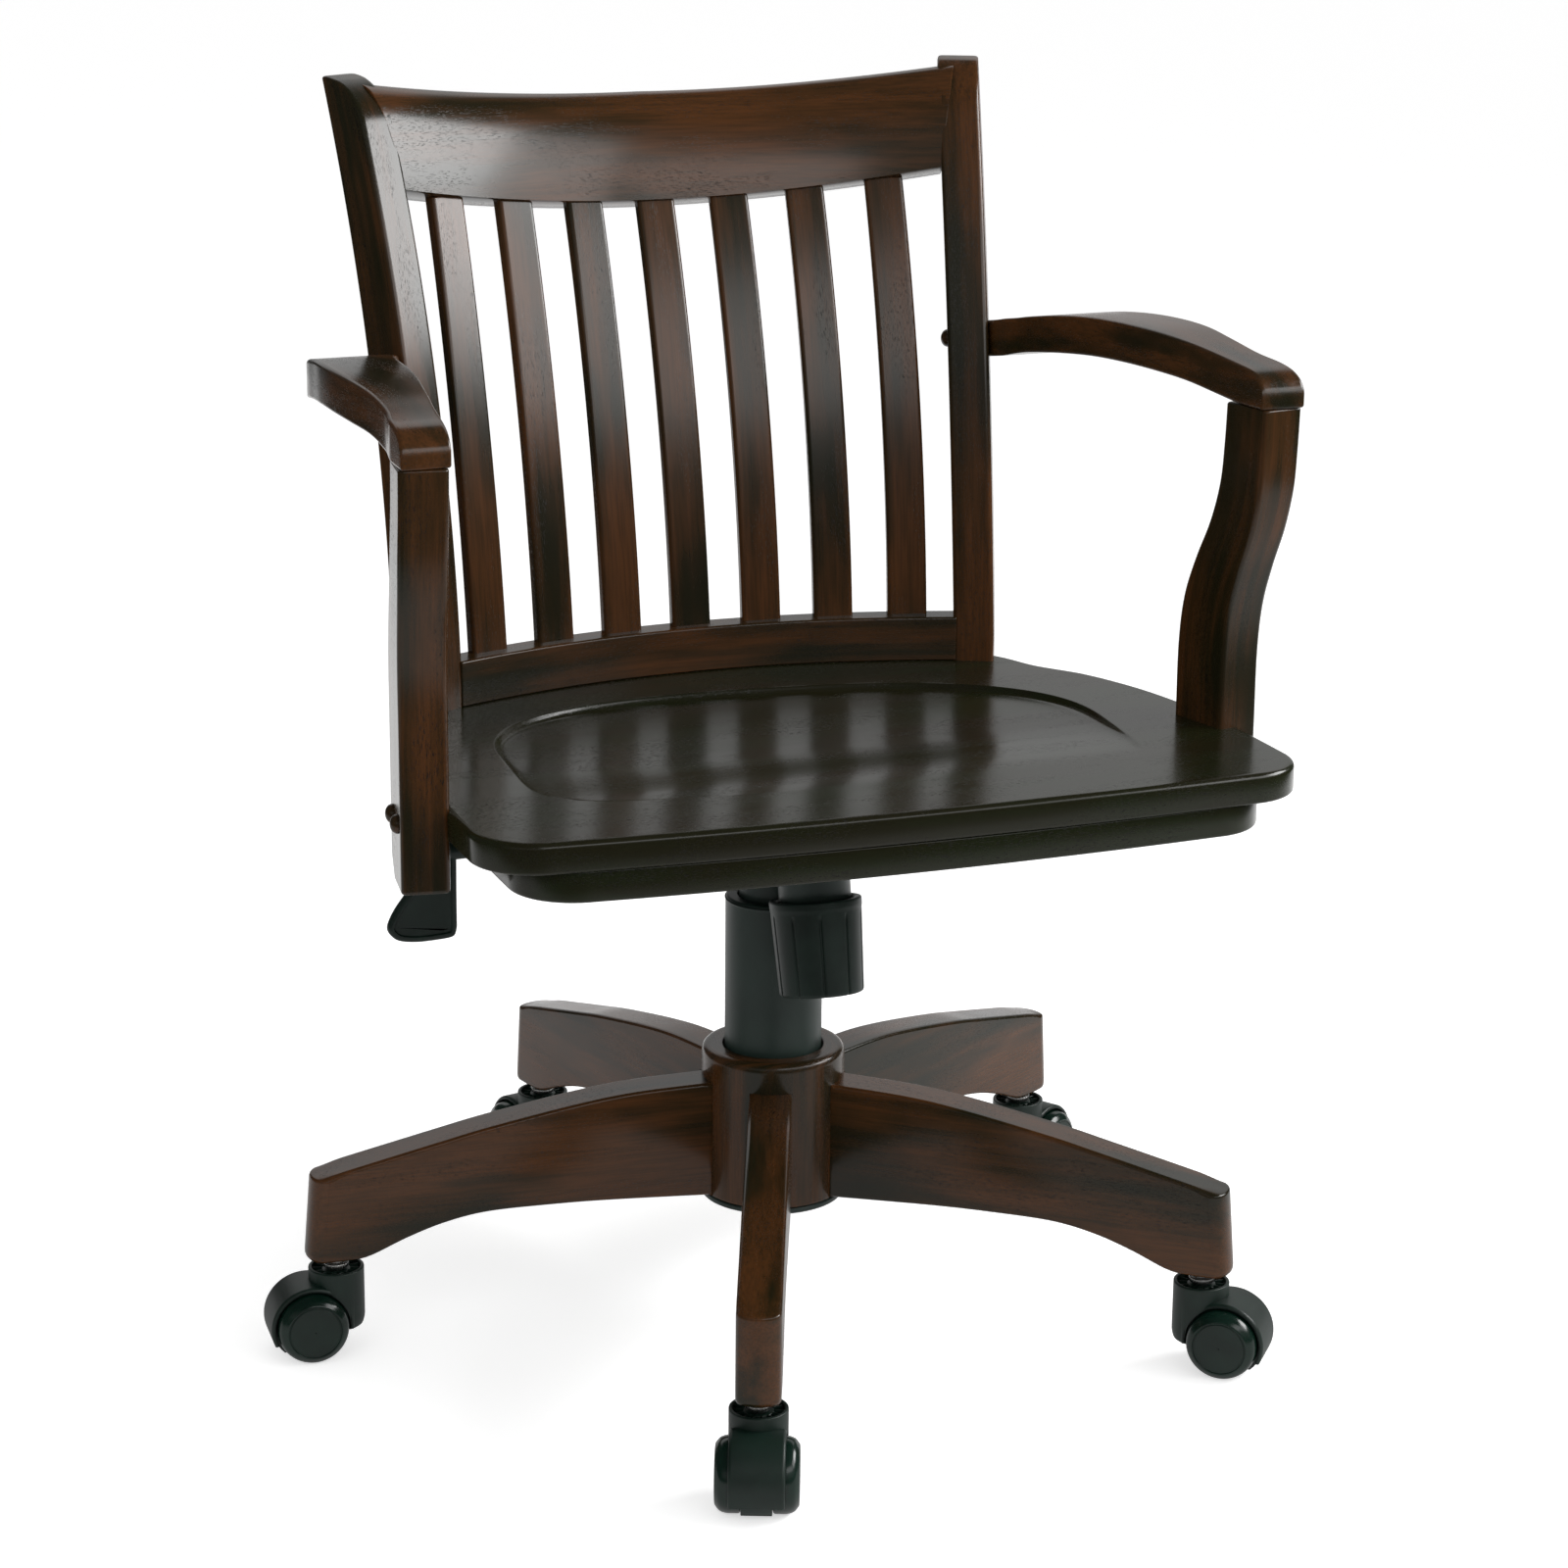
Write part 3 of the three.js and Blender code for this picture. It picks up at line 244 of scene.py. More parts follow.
# Camera and stage
CAMERA_PLACE = (-1013, -2421, 1138)
CAMERA_LOOKS = (0.3733, 0.8863, -0.2742)
CAMERA_ROLL = math.radians(0.529)
CAMERA_LENS = 89.51
HEADING = (0.388, 0.922)  # of the white paper, which runs back from the camera
FLOOR_HALF = 30000
LAMPS = (("side", (2130, -550, 1640), (-150, 200, 750), 1.3, 1.0, 47, True),
    ("corner", (1650, -1550, 1640), (-100, 200, 750), 1.1, 0.95, 13, True),
    ("front", (330, -2390, 1640), (0, 200, 700), 1.9, 0.7, 9.5, True),
    ("fill", (-1900, -1700, 1300), (0, 0, 450), 1.4, 1.4, 9, False),
    ("top", (0, -100, 2500), (0, 0, 400), 1.6, 1.6, 3, False))


def at(x, y, z):
    """A point of the chair's own frame, in millimetres, as a place in the record's frame."""
    return Vector((AXIS.x + x * MM, AXIS.y + y * MM, z * MM))


def blend(a, b, t):
    return a + (b - a) * t


def smoothstep(x, low, high):
    t = min(1, max(0, (x - low) / (high - low)))
    return t * t * (3 - 2 * t)


def curve(rows):
    """A smooth function through rows of (x, y), with no swing past them."""
    xs = [r[0] for r in rows]
    ys = [r[1] for r in rows]
    d = [(ys[i + 1] - ys[i]) / (xs[i + 1] - xs[i]) for i in range(len(xs) - 1)]
    inner = [0 if p * q <= 0 else 2 * p * q / (p + q) for p, q in zip(d, d[1:])]
    m = [d[0], *inner, d[-1]]

    def value(x):
        x = min(xs[-1], max(xs[0], x))
        i = max(k for k in range(len(xs) - 1) if xs[k] <= x)
        h = xs[i + 1] - xs[i]
        t = (x - xs[i]) / h
        a = (1 + 2 * t) * (1 - t) ** 2 * ys[i] + t * (1 - t) ** 2 * h * m[i]
        return a + t * t * (3 - 2 * t) * ys[i + 1] + t * t * (t - 1) * h * m[i + 1]

    return value


def through(points, steps):
    """A Catmull-Rom line through points of two coordinates."""

    def between(a, b, c, d, t):
        square, cube = 2 * a - 5 * b + 4 * c - d, 3 * b - a - 3 * c + d
        return 0.5 * (2 * b + (c - a) * t + square * t * t + cube * t**3)

    out = []
    for i, (p1, p2) in enumerate(zip(points, points[1:])):
        p0, p3 = points[max(0, i - 1)], points[min(len(points) - 1, i + 2)]
        for k in range(steps):
            out.append(tuple(between(*c, k / steps) for c in zip(p0, p1, p2, p3)))
    return [*out, tuple(points[-1])]


def flowing(rows):
    """A smooth function through rows of (x, y), free to swing a little past them."""
    line = through(rows, 12)

    def value(x):
        if x <= line[0][0]:
            return line[0][1]
        for (x0, y0), (x1, y1) in zip(line, line[1:]):
            if x <= x1:
                return blend(y0, y1, (x - x0) / (x1 - x0))
        return line[-1][1]

    return value


def spread(first, last, count):
    return [blend(first, last, i / count) for i in range(count + 1)]


def rounded(a0, a1, b0, b1, radii, steps=4):
    """The outline of a rectangle with four rounded corners, anticlockwise from its lowest one."""
    out = []
    corners = ((a0, b0, 180), (a1, b0, 270), (a1, b1, 0), (a0, b1, 90))
    for (a, b, start), r in zip(corners, radii):
        ca = a + (r if a == a0 else -r)
        cb = b + (r if b == b0 else -r)
        turn = math.radians(start)
        c, s = math.cos(turn), math.sin(turn)
        out.append((ca + r * c + SUPPORT * s, cb + r * s - SUPPORT * c))
        for i in range(steps + 1):
            t = turn + math.pi / 2 * i / steps
            out.append((ca + r * math.cos(t), cb + r * math.sin(t)))
        out.append((ca - r * s - SUPPORT * c, cb + r * c - SUPPORT * s))
    return out


def shrink(outline, inset):
    """An outline moved inwards by this at its sides."""
    if not inset:
        return outline
    a0, a1 = min(p[0] for p in outline), max(p[0] for p in outline)
    b0, b1 = min(p[1] for p in outline), max(p[1] for p in outline)
    ca, cb = (a0 + a1) / 2, (b0 + b1) / 2
    ka, kb = 1 - 2 * inset / (a1 - a0), 1 - 2 * inset / (b1 - b0)
    return [(ca + (a - ca) * ka, cb + (b - cb) * kb) for a, b in outline]


def soften(points, steps=4, closed=False):
    """A line of (x, y, round) with each corner rounded by its third value."""
    out = []
    n = len(points)
    for i, (x, y, r) in enumerate(points):
        here = Vector((x, y))
        if not r or (not closed and i in (0, n - 1)):
            out.append((x, y))
            continue
        before = Vector(points[i - 1][:2]) - here
        after = Vector(points[(i + 1) % n][:2]) - here
        t = min(r, before.length * 0.46, after.length * 0.46)
        u, v = before.normalized(), after.normalized()
        if before.length > 3 * (t + SUPPORT):
            out.append(tuple(here + u * (t + SUPPORT)))
        for k in range(steps + 1):
            s = k / steps
            out.append(tuple(here + u * t * (1 - s) ** 2 + v * t * s * s))
        if after.length > 3 * (t + SUPPORT):
            out.append(tuple(here + v * (t + SUPPORT)))
    return out


class Skin:
    """Points with their places in the wood's grain, and the faces between them."""

    def __init__(self):
        self.points, self.grain, self.faces = [], [], []

    def ring(self, pairs):
        start = len(self.points)
        for point, grain in pairs:
            self.points.append(point)
            self.grain.append(grain)
        return list(range(start, len(self.points)))

    def band(self, a, b):
        n = len(a)
        for i in range(n):
            k = (i + 1) % n
            self.faces.append((a[i], a[k], b[k], b[i]))

    def skin(self, rings):
        for a, b in zip(rings, rings[1:]):
            self.band(a, b)

    def fan(self, ring):
        n = len(ring)
        middle = sum((self.points[i] for i in ring), Vector((0, 0, 0))) / n
        grain = sum((Vector(self.grain[i]) for i in ring), Vector((0, 0, 0))) / n
        (centre,) = self.ring([(middle, tuple(grain))])
        for i in range(n):
            self.faces.append((centre, ring[i], ring[(i + 1) % n]))

    def face(self, ring):
        self.faces.append(tuple(ring))


def quarter(steps):
    """Points of a rounded edge: how far back from its side and its face, as shares of its radius."""
    turns = [math.pi / 2 * i / steps for i in range(steps + 1)]
    return [(1 - math.sin(t), 1 - math.cos(t)) for t in turns]


def bar(stations, place, section, ends, steps=3):
    """A bar with rounded ends: section(s) is its outline at a station, place(s, a, b) a point of it."""
    skin = Skin()
    first, last = stations[0], stations[-1]
    low, high = first + ends[0] + SUPPORT, last - ends[1] - SUPPORT
    rows = [(first + ends[0] * v, ends[0] * u) for u, v in quarter(steps)]
    rows += [(s, 0) for s in [low, *(s for s in stations if low + 1 < s < high - 1), high]]
    rows += [(last - ends[1] * v, ends[1] * u) for u, v in reversed(quarter(steps))]
    rings = []
    for s, inset in rows:
        outline = shrink(section(s), inset)
        rings.append(skin.ring([(Vector(place(s, a, b)), (s, a, b)) for a, b in outline]))
    skin.skin(rings)
    skin.fan(rings[0])
    skin.fan(rings[-1])
    return skin


def lathe(profile, count=64, closed=False):
    """A turned solid about z through rows of (radius, height). A closed profile makes a ring."""
    skin = Skin()
    turns = [2 * math.pi * i / count for i in range(count)]
    rings = [skin.ring([(Vector((r * math.cos(t), r * math.sin(t), z)), (z, r * t, r)) for t in turns])
        for r, z in profile]
    skin.skin(rings)
    if closed:
        skin.band(rings[-1], rings[0])
    else:
        skin.fan(rings[0])
        skin.fan(rings[-1])
    return skin


def inwards(outline, distance):
    """A closed outline moved inwards along its own normals. It runs anticlockwise."""
    n = len(outline)
    out = []
    for i, (x, y) in enumerate(outline):
        px, py = outline[i - 1]
        qx, qy = outline[(i + 1) % n]
        tx, ty = qx - px, qy - py
        size = math.hypot(tx, ty) or 1
        out.append((x - ty / size * distance, y + tx / size * distance))
    return out


def stacked(rings_of, capped=True):
    """A skin through rings of points that stand in their own places in the grain."""
    skin = Skin()
    rings = [skin.ring([(Vector(p), p) for p in ring]) for ring in rings_of]
    skin.skin(rings)
    skin.face(rings[0])
    if capped:
        skin.face(rings[-1])
    else:
        skin.fan(rings[-1])
    return skin


def plank(outline, z0, z1, foot_round, top_round, steps=4):
    """A flat piece of this outline with rounded edges."""
    rows = [(foot_round + SUPPORT, z0)]
    rows += [(foot_round * u, z0 + foot_round * v) for u, v in quarter(steps)]
    rows += [(top_round * u, z1 - top_round * v) for u, v in reversed(quarter(steps))]
    rows.append((top_round + SUPPORT, z1))
    return stacked([[(x, y, z) for x, y in inwards(outline, inset)] for inset, z in rows])


# Shader and geometry nodes


def operate(operation, flip=False):
    def method(self, other):
        pair = (other, self) if flip else (self, other)
        return self.net.math(operation, *pair)

    return method


class Value:
    """A node's socket. Arithmetic on it adds Math nodes."""

    __add__ = __radd__ = operate("ADD")
    __sub__, __rsub__ = operate("SUBTRACT"), operate("SUBTRACT", True)
    __mul__ = __rmul__ = operate("MULTIPLY")
    __truediv__ = operate("DIVIDE")

    def __init__(self, net, socket):
        self.net, self.socket = net, socket


class Net:
    """A node tree that takes numbers and wrapped sockets."""

    def __init__(self, tree):
        self.tree = tree

    def feed(self, socket, value):
        if isinstance(value, Value):
            self.tree.links.new(value.socket, socket)
        else:
            socket.default_value = value

    def node(self, kind, settings=None, sockets=None):
        node = self.tree.nodes.new(kind)
        for name, value in (settings or {}).items():
            setattr(node, name, value)
        for name, value in (sockets or {}).items():
            self.feed(node.inputs[name], value)
        return node

    def add(self, kind, settings=None, sockets=None, out=0):
        return Value(self, self.node(kind, settings, sockets).outputs[out])

    def math(self, operation, *values):
        return self.add("ShaderNodeMath", {"operation": operation}, dict(enumerate(values)))

    def split(self, vector):
        return [Value(self, s) for s in self.node("ShaderNodeSeparateXYZ", None, {0: vector}).outputs]

    def join(self, x, y, z):
        return self.add("ShaderNodeCombineXYZ", None, {0: x, 1: y, 2: z})

    def ramp(self, value, low, high):
        """0 below low, 1 above high, smooth between."""
        soft = {"interpolation_type": "SMOOTHSTEP"}
        return self.add("ShaderNodeMapRange", soft, {0: value, 1: low, 2: high})

    def mix(self, share, a, b):
        """Two colours, or a colour and a socket, by a share."""
        return self.add("ShaderNodeMix", {"data_type": "RGBA"}, {0: share, 6: a, 7: b}, out=2)

    def noise(self, vector, scale, detail=2.0, roughness=0.5, shift=(0, 0, 0)):
        multiply = {"operation": "MULTIPLY_ADD"}
        scaled = self.add("ShaderNodeVectorMath", multiply, {0: vector, 1: scale, 2: shift})
        return self.add("ShaderNodeTexNoise", None, {0: scaled, 2: 1.0, 3: detail, 4: roughness})

    def rays(self, *kinds):
        """Light Path's masks for these kinds of ray."""
        path = self.node("ShaderNodeLightPath")
        return [Value(self, path.outputs["Is %s Ray" % kind]) for kind in kinds]


def rgba(colour):
    return (*colour[:3], 1.0)


class Finish(Net):
    """A material under the name of one of the chair's finishes."""

    def __init__(self, name):
        self.material = bpy.data.materials.new(name)
        self.material.use_nodes = True
        super().__init__(self.material.node_tree)
        self.tree.nodes.clear()
        self.shader = self.node("ShaderNodeBsdfPrincipled")
        out = self.node("ShaderNodeOutputMaterial")
        self.tree.links.new(self.shader.outputs[0], out.inputs[0])

    def put(self, **sockets):
        for name, value in sockets.items():
            self.feed(self.shader.inputs[name.replace("_", " ")], value)

    def bump(self, height, distance, strength):
        sockets = {"Strength": strength, "Distance": distance, "Height": height}
        self.put(Normal=self.add("ShaderNodeBump", None, sockets))

    def place(self):
        return self.add("ShaderNodeTexCoord", None, None, out="Object")


def stained_wood(name, dark, warm, pore):
    """Brown stain under satin lacquer: cloudy stain, fine grain and short open pores along the wood."""
    net = Finish(name)
    grain = net.add("ShaderNodeAttribute", {"attribute_name": "grain"}, None, out="Vector")
    cloud = net.noise(grain, (5, 17, 17), 3.0, 0.55)
    board = net.noise(grain, (3.2, 75, 75), 3.0, 0.6, (4, 9, 2))
    fine = net.noise(grain, (26, 620, 620), 2.0, 0.6, (1, 3, 8))
    dash = net.noise(grain, (260, 2100, 2100), 1.0, 0.4, (7, 5, 1))
    patch = net.noise(grain, (9, 42, 42), 2.0, 0.5, (2, 8, 6))
    pores = net.ramp(dash, 0.60, 0.68) * net.ramp(patch, 0.42, 0.60)
    warmth = net.ramp(cloud * 0.65 + board * 0.35, 0.38, 0.61)
    stain = net.mix(warmth, rgba(dark), rgba(warm))
    streaked = net.mix(net.ramp(fine, 0.35, 0.7) * 0.4, stain, rgba(dark))
    net.put(Base_Color=net.mix(pores * 0.85, streaked, rgba(pore)))
    net.put(Roughness=0.15 + board * 0.09 + pores * 0.2)
    net.put(IOR=1.5, Specular_IOR_Level=0.42)
    net.bump(fine * 0.1 - pores, 0.00004, 0.5)
    return net.material


def clouded(name, colour, other, high, cloud, texture, rough, bump, metallic=0.0):
    """A plain finish that clouds over from one colour to another, with a fine texture."""
    net = Finish(name)
    place = net.place()
    fine = net.noise(place, *texture)
    clouds = net.noise(place, *cloud)
    net.put(Base_Color=net.mix(net.ramp(clouds, 0.3, high), rgba(colour), rgba(other)))
    net.put(Roughness=rough[0] + clouds * rough[1], Metallic=metallic)
    net.bump(fine, *bump)
    return net.material


def moulded_plastic(name, colour, roughness, texture):
    """Black plastic with the faint texture of its mould."""
    lighter = [c * 1.7 + 0.002 for c in colour]
    speckle, cloud = ((1500,) * 3, 2.0, 0.6), ((34,) * 3, 3.0, 0.5)
    return clouded(name, colour, lighter, 0.75, cloud, speckle, (roughness - 0.04, 0.08),
        (0.0001, texture))


def coated_steel(colour):
    """Black powder coat: a low sheen with a fine orange peel."""
    lighter = [c * 1.5 for c in colour]
    peel, cloud = ((420,) * 3, 2.0, 0.55), ((18,) * 3, 3.0, 0.5)
    return clouded("black_steel", colour, lighter, 0.7, cloud, peel, (0.36, 0.12), (0.00012, 0.35))


def plated_steel(colour):
    """Zinc-plated steel with faint turning marks."""
    darker = [c * 0.7 for c in colour]
    marks, stain = ((60, 60, 1900), 2.0, 0.5), ((70,) * 3, 3.0, 0.6)
    return clouded("bright_steel", colour, darker, 0.7, stain, marks, (0.2, 0.16), (0.00004, 0.3), 1.0)


MATERIALS = {}
SLOTS = {"stained_wood": "wood", "deep_wood": "wood", "glossy_plastic": "black_plastic"}

# Pieces


def linked(name, data):
    obj = bpy.data.objects.new(name, data)
    bpy.context.scene.collection.objects.link(obj)
    return obj


def evaluated(obj):
    """The plain mesh of an object with its modifiers applied."""
    graph = bpy.context.evaluated_depsgraph_get()
    return bpy.data.meshes.new_from_object(obj.evaluated_get(graph))


def mesh_of(name, skin, move=None):
    """A mesh object with the skin's points moved to their places in the record's frame."""
    move = move or (lambda p: at(*p))
    mesh = bpy.data.meshes.new(name)
    mesh.from_pydata([move(p) for p in skin.points], [], skin.faces)
    attribute = mesh.attributes.new("grain", "FLOAT_VECTOR", "POINT")
    attribute.data.foreach_set("vector", [c * MM for g in skin.grain for c in g])
    return linked(name, mesh)


def shade(obj):
    obj.data.shade_smooth()
    obj.data.set_sharp_from_angle(angle=SHARP)
    return obj


def tidy(obj, merge=0.00001):
    """Merges doubles, turns faces outwards and shades smooth up to the sharp edges."""
    b = bmesh.new()
    b.from_mesh(obj.data)
    bmesh.ops.remove_doubles(b, verts=b.verts, dist=merge)
    bmesh.ops.dissolve_degenerate(b, edges=b.edges, dist=merge / 2)
    bmesh.ops.recalc_face_normals(b, faces=b.faces)
    b.to_mesh(obj.data)
    b.free()
    return shade(obj)


def piece(name, skin, move=None):
    return tidy(mesh_of(name, skin, move))


def shift_grain(obj, seed, groups=1):
    """Gives each board of a piece its own part of the grain."""
    data = obj.data.attributes["grain"].data
    each = len(data) // groups
    for i, value in enumerate(data):
        k = seed + min(groups - 1, i // each)
        value.vector = value.vector + Vector((0.413 * k, 0.271 * k, 0.137 * k))


def finish_piece(obj, finish, body, *nodes, slot=None):
    if not obj.data.materials:
        obj.data.materials.append(MATERIALS[finish])
    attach(obj, body)
    if nodes:
        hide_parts(*nodes)
    slot or SLOTS.get(finish, finish)


def wooden(name, skin, body, node, seed, finish="stained_wood"):
    obj = piece(name, skin)
    shift_grain(obj, seed)
    finish_piece(obj, finish, body, node)


def turned(name, profile, finish, body, node, count=96, closed=False, move=None):
    """A turned piece, with its finish."""
    finish_piece(piece(name, lathe(profile, count, closed), move), finish, body, node)


def realised(obj, name, tree, inputs):
    """The plain mesh that a geometry tree makes of an object."""
    modifier = obj.modifiers.new("pattern", "NODES")
    modifier.node_group = tree
    keys = {s.name: s.identifier for s in tree.interface.items_tree if s.in_out == "INPUT"}
    for label, value in inputs.items():
        modifier[keys[label]] = value
    mesh = evaluated(obj)
    obj.modifiers.remove(modifier)
    bpy.data.objects.remove(obj)
    mesh.name = name
    return linked(name, mesh)


def pattern_tree(name, *labels):
    """A geometry tree that takes a piece and a number for each label, with its inputs in that order."""
    tree = bpy.data.node_groups.new(name, "GeometryNodeTree")
    for label in ("Geometry", *labels):
        kind = {"Geometry": "Geometry", "Count": "Int"}.get(label, "Float")
        tree.interface.new_socket(label, in_out="INPUT", socket_type="NodeSocket" + kind)
    tree.interface.new_socket("Geometry", in_out="OUTPUT", socket_type="NodeSocketGeometry")
    net = Net(tree)
    return net, [Value(net, s) for s in tree.nodes.new("NodeGroupInput").outputs if s.name]


def copies(net, given, points, **more):
    return net.add("GeometryNodeInstanceOnPoints", None, {"Points": points, "Instance": given, **more})


def close_tree(net, geometry, finish):
    real = net.add("GeometryNodeRealizeInstances", None, {0: geometry})
    sockets = {"Geometry": real, "Material": MATERIALS[finish]}
    out = net.tree.nodes.new("NodeGroupOutput")
    net.feed(out.inputs[0], net.add("GeometryNodeSetMaterial", None, sockets))
    return net.tree


def around_axis(finish):
    """Copies a piece round the z axis, from a first angle, in equal steps."""
    net, (given, count, first) = pattern_tree("around_axis", "Count", "First angle")
    points = net.add("GeometryNodeMeshLine", None, {"Count": count, "Offset": (0, 0, 0)})
    angle = first + net.add("GeometryNodeInputIndex") * (2 * math.pi) / count
    turn = net.add("FunctionNodeEulerToRotation", None, {0: net.join(0.0, 0.0, angle)})
    return close_tree(net, copies(net, given, points, Rotation=turn), finish)


def on_rectangle(finish):
    """Copies a piece to the corners of a rectangle."""
    net, (given, width, length) = pattern_tree("on_rectangle", "Width", "Length")
    corners = {"Size X": width, "Size Y": length, "Vertices X": 2, "Vertices Y": 2}
    return close_tree(net, copies(net, given, net.add("GeometryNodeMeshGrid", None, corners)), finish)


def slat_tree(finish):
    """Copies one straight slat, then bends each copy to its place in the fan of the back."""
    ends = ["%s at %s" % (word, end) for word in ("Pitch", "Face", "Sag") for end in ("foot", "top")]
    net, given = pattern_tree("slats", "Count", *ends, "Foot", "Top")
    slat, count, pitch, top_pitch, near, top_near, bow, top_bow, foot, top = given
    points = net.add("GeometryNodeMeshLine", None, {"Count": count, "Offset": (0, 0, 0)})
    numbered = net.add("GeometryNodeStoreNamedAttribute", {"data_type": "FLOAT", "domain": "INSTANCE"},
        {"Geometry": copies(net, slat, points), "Name": "slat",
        "Value": net.add("GeometryNodeInputIndex")})
    real = net.add("GeometryNodeRealizeInstances", None, {0: numbered})
    a, d, z = net.split(net.add("GeometryNodeInputPosition"))
    number = net.add("GeometryNodeInputNamedAttribute", {"data_type": "FLOAT"}, {"Name": "slat"})
    middle = (count - 1) / 2
    straight = (z - foot) / (top - foot)

    def lean_of(height):
        s = net.math("MAXIMUM", 0.0, (height - LEAN_FOOT * MM) / (LEAN_RISE * MM))
        return s * LEAN_LINEAR + s * s * LEAN_SQUARE

    low, high = lean_of(foot), lean_of(top)
    share = (lean_of(z) - low) / (high - low)
    x = (number - middle) * (pitch + (top_pitch - pitch) * straight)
    sag = bow + (top_bow - bow) * share
    far = middle * pitch
    y = near + (top_near - near) * share - sag * (x / far) * (x / far)
    turn = net.math("ARCTAN2", sag * x * -2.0, far * far)
    c, s = net.math("COSINE", turn), net.math("SINE", turn)
    place = net.join(x + a * c - d * s, y + a * s + d * c, z)
    bent = net.add("GeometryNodeSetPosition", None, {"Geometry": real, "Position": place})
    return close_tree(net, bent, finish)


def groove_tree(finish):
    """Presses finger grooves into a turned piece, between two heights."""
    net, given = pattern_tree("finger_grooves", "Count", "Depth", "Width", "Low", "High",
        "Least radius")
    blank, count, depth, width, low, high, least = given
    x, y, z = net.split(net.add("GeometryNodeInputPosition"))
    radius = net.math("SQRT", x * x + y * y)
    turns = net.math("ARCTAN2", y, x) / (2 * math.pi) * count
    off = net.math("ABSOLUTE", net.math("FRACT", turns + 100.5) - 0.5)
    arc = off * (2 * math.pi) * radius / count
    half = width / 2
    past = net.math("MAXIMUM", net.math("MAXIMUM", low - z, z - high) + half, 0.0)
    press = 1 - net.ramp(net.math("SQRT", arc * arc + past * past) / half, 0.25, 1.0)
    inward = depth * press * net.ramp(radius, least - 0.0004, least) / radius
    move = net.join(x * inward * -1.0, y * inward * -1.0, 0.0)
    pressed = net.add("GeometryNodeSetPosition", None, {"Geometry": blank, "Offset": move})
    return close_tree(net, pressed, finish)


def coil_tree(finish):
    """A wire coil along z."""
    net, (_, turns, radius, height, wire) = pattern_tree("coil", "Turns", "Radius", "Height", "Wire")
    sizes = {"Rotations": turns, "Start Radius": radius, "End Radius": radius, "Height": height}
    line = net.add("GeometryNodeCurveSpiral", None, {"Resolution": 28, **sizes})
    circle = {"Resolution": 10, "Radius": wire}
    round_wire = net.add("GeometryNodeCurvePrimitiveCircle", {"mode": "RADIUS"}, circle)
    sockets = {"Curve": line, "Profile Curve": round_wire, "Fill Caps": True}
    return close_tree(net, net.add("GeometryNodeCurveToMesh", None, sockets), finish)


# Shapes


def axes(angle):
    """Two directions at right angles, turned by this."""
    c, s = math.cos(angle), math.sin(angle)
    return Vector((c, s)), Vector((-s, c))


def seat_outline(inset, front_inset, rear_inset):
    """The seat seen from above, anticlockwise from the middle of its front edge."""
    half = SEAT_HALF + SEAT_OVERHANG - inset
    front = -SEAT_FRONT + front_inset
    depth = SEAT_REAR - front - rear_inset
    flat = half - SEAT_CORNER
    right = [(x, front + SEAT_BOW * (x / flat) ** 2) for x in spread(0, flat, 16)[:-1]]
    for i in range(17):
        t = math.pi / 2 * i / 16
        right.append((flat + SEAT_CORNER * math.sin(t),
            front + SEAT_BOW + SEAT_CORNER * (1 - math.cos(t))))
    side = through([(half * a, front + depth * b) for a, b in SIDE_SHARES], 7)
    right += [p for p in side[1:] if p[0] > 0.01]
    rear = [(0, front + depth)]
    left = [(-x, y) for x, y in reversed(right[1:])]
    c, s = math.cos(SEAT_TURN), math.sin(SEAT_TURN)
    return [(x * c + y * s + SEAT_SHIFT, y * c - x * s) for x, y in right + rear + left]


def seat_skin(edge):
    outline = seat_outline(0, 0, 0)
    foot = SEAT_TOP - SLAB
    middle = (SEAT_SHIFT / 2, -SCOOP_MIDDLE)
    rows = [(FOOT_ROUND + SUPPORT, foot)]
    rows += [(FOOT_ROUND * u, foot + FOOT_ROUND * v) for u, v in quarter(4)]
    rows += [(edge * u, SEAT_TOP - edge * v) for u, v in reversed(quarter(6))]
    rows.append((edge + SUPPORT, SEAT_TOP))
    rings = [[(x, y, z) for x, y in inwards(outline, inset)] for inset, z in rows]
    depth_at = curve(SCOOP_DEPTHS)
    spokes = []
    for x, y in outline:
        t = math.atan2(y - middle[1], x - middle[0])
        own = t + SCOOP_TURN
        # Behind the middle the carved edge is an oval, and before it the sides run out straight.
        rear = math.sin(own) > 0
        reach = SCOOP_REAR - middle[1] if rear else SCOOP_FRONT + middle[1]
        power = SCOOP_POWER if rear else SCOOP_POWER * SCOOP_STRAIGHT
        c, s = abs(math.cos(own)) / SCOOP_HALF, abs(math.sin(own)) / reach
        r = (c**power + s**power) ** (-1 / power)
        spokes.append((r * math.cos(t), r * math.sin(t)))
    for share in SCOOP_RINGS:
        ring = []
        for dx, dy in spokes:
            x, y = middle[0] + dx * share, middle[1] + dy * share
            fade = smoothstep(y, -SCOOP_FRONT, SCOOP_FADE - SCOOP_FRONT)
            ring.append((x, y, SEAT_TOP - depth_at(min(1, share)) * fade))
        rings.append(ring)
    return stacked(rings, capped=False)


def lean(z):
    s = max(0, (z - LEAN_FOOT) / LEAN_RISE)
    return LEAN_LINEAR * s + LEAN_SQUARE * s * s


def post_frame(z):
    """A back post's inner front corner at a height."""
    rise = max(0, (z - LEAN_FOOT) / LEAN_RISE)
    return Vector((POST_HALF_SPAN + POST_SPREAD * rise * rise, POST_FRONT_Y + lean(z)))


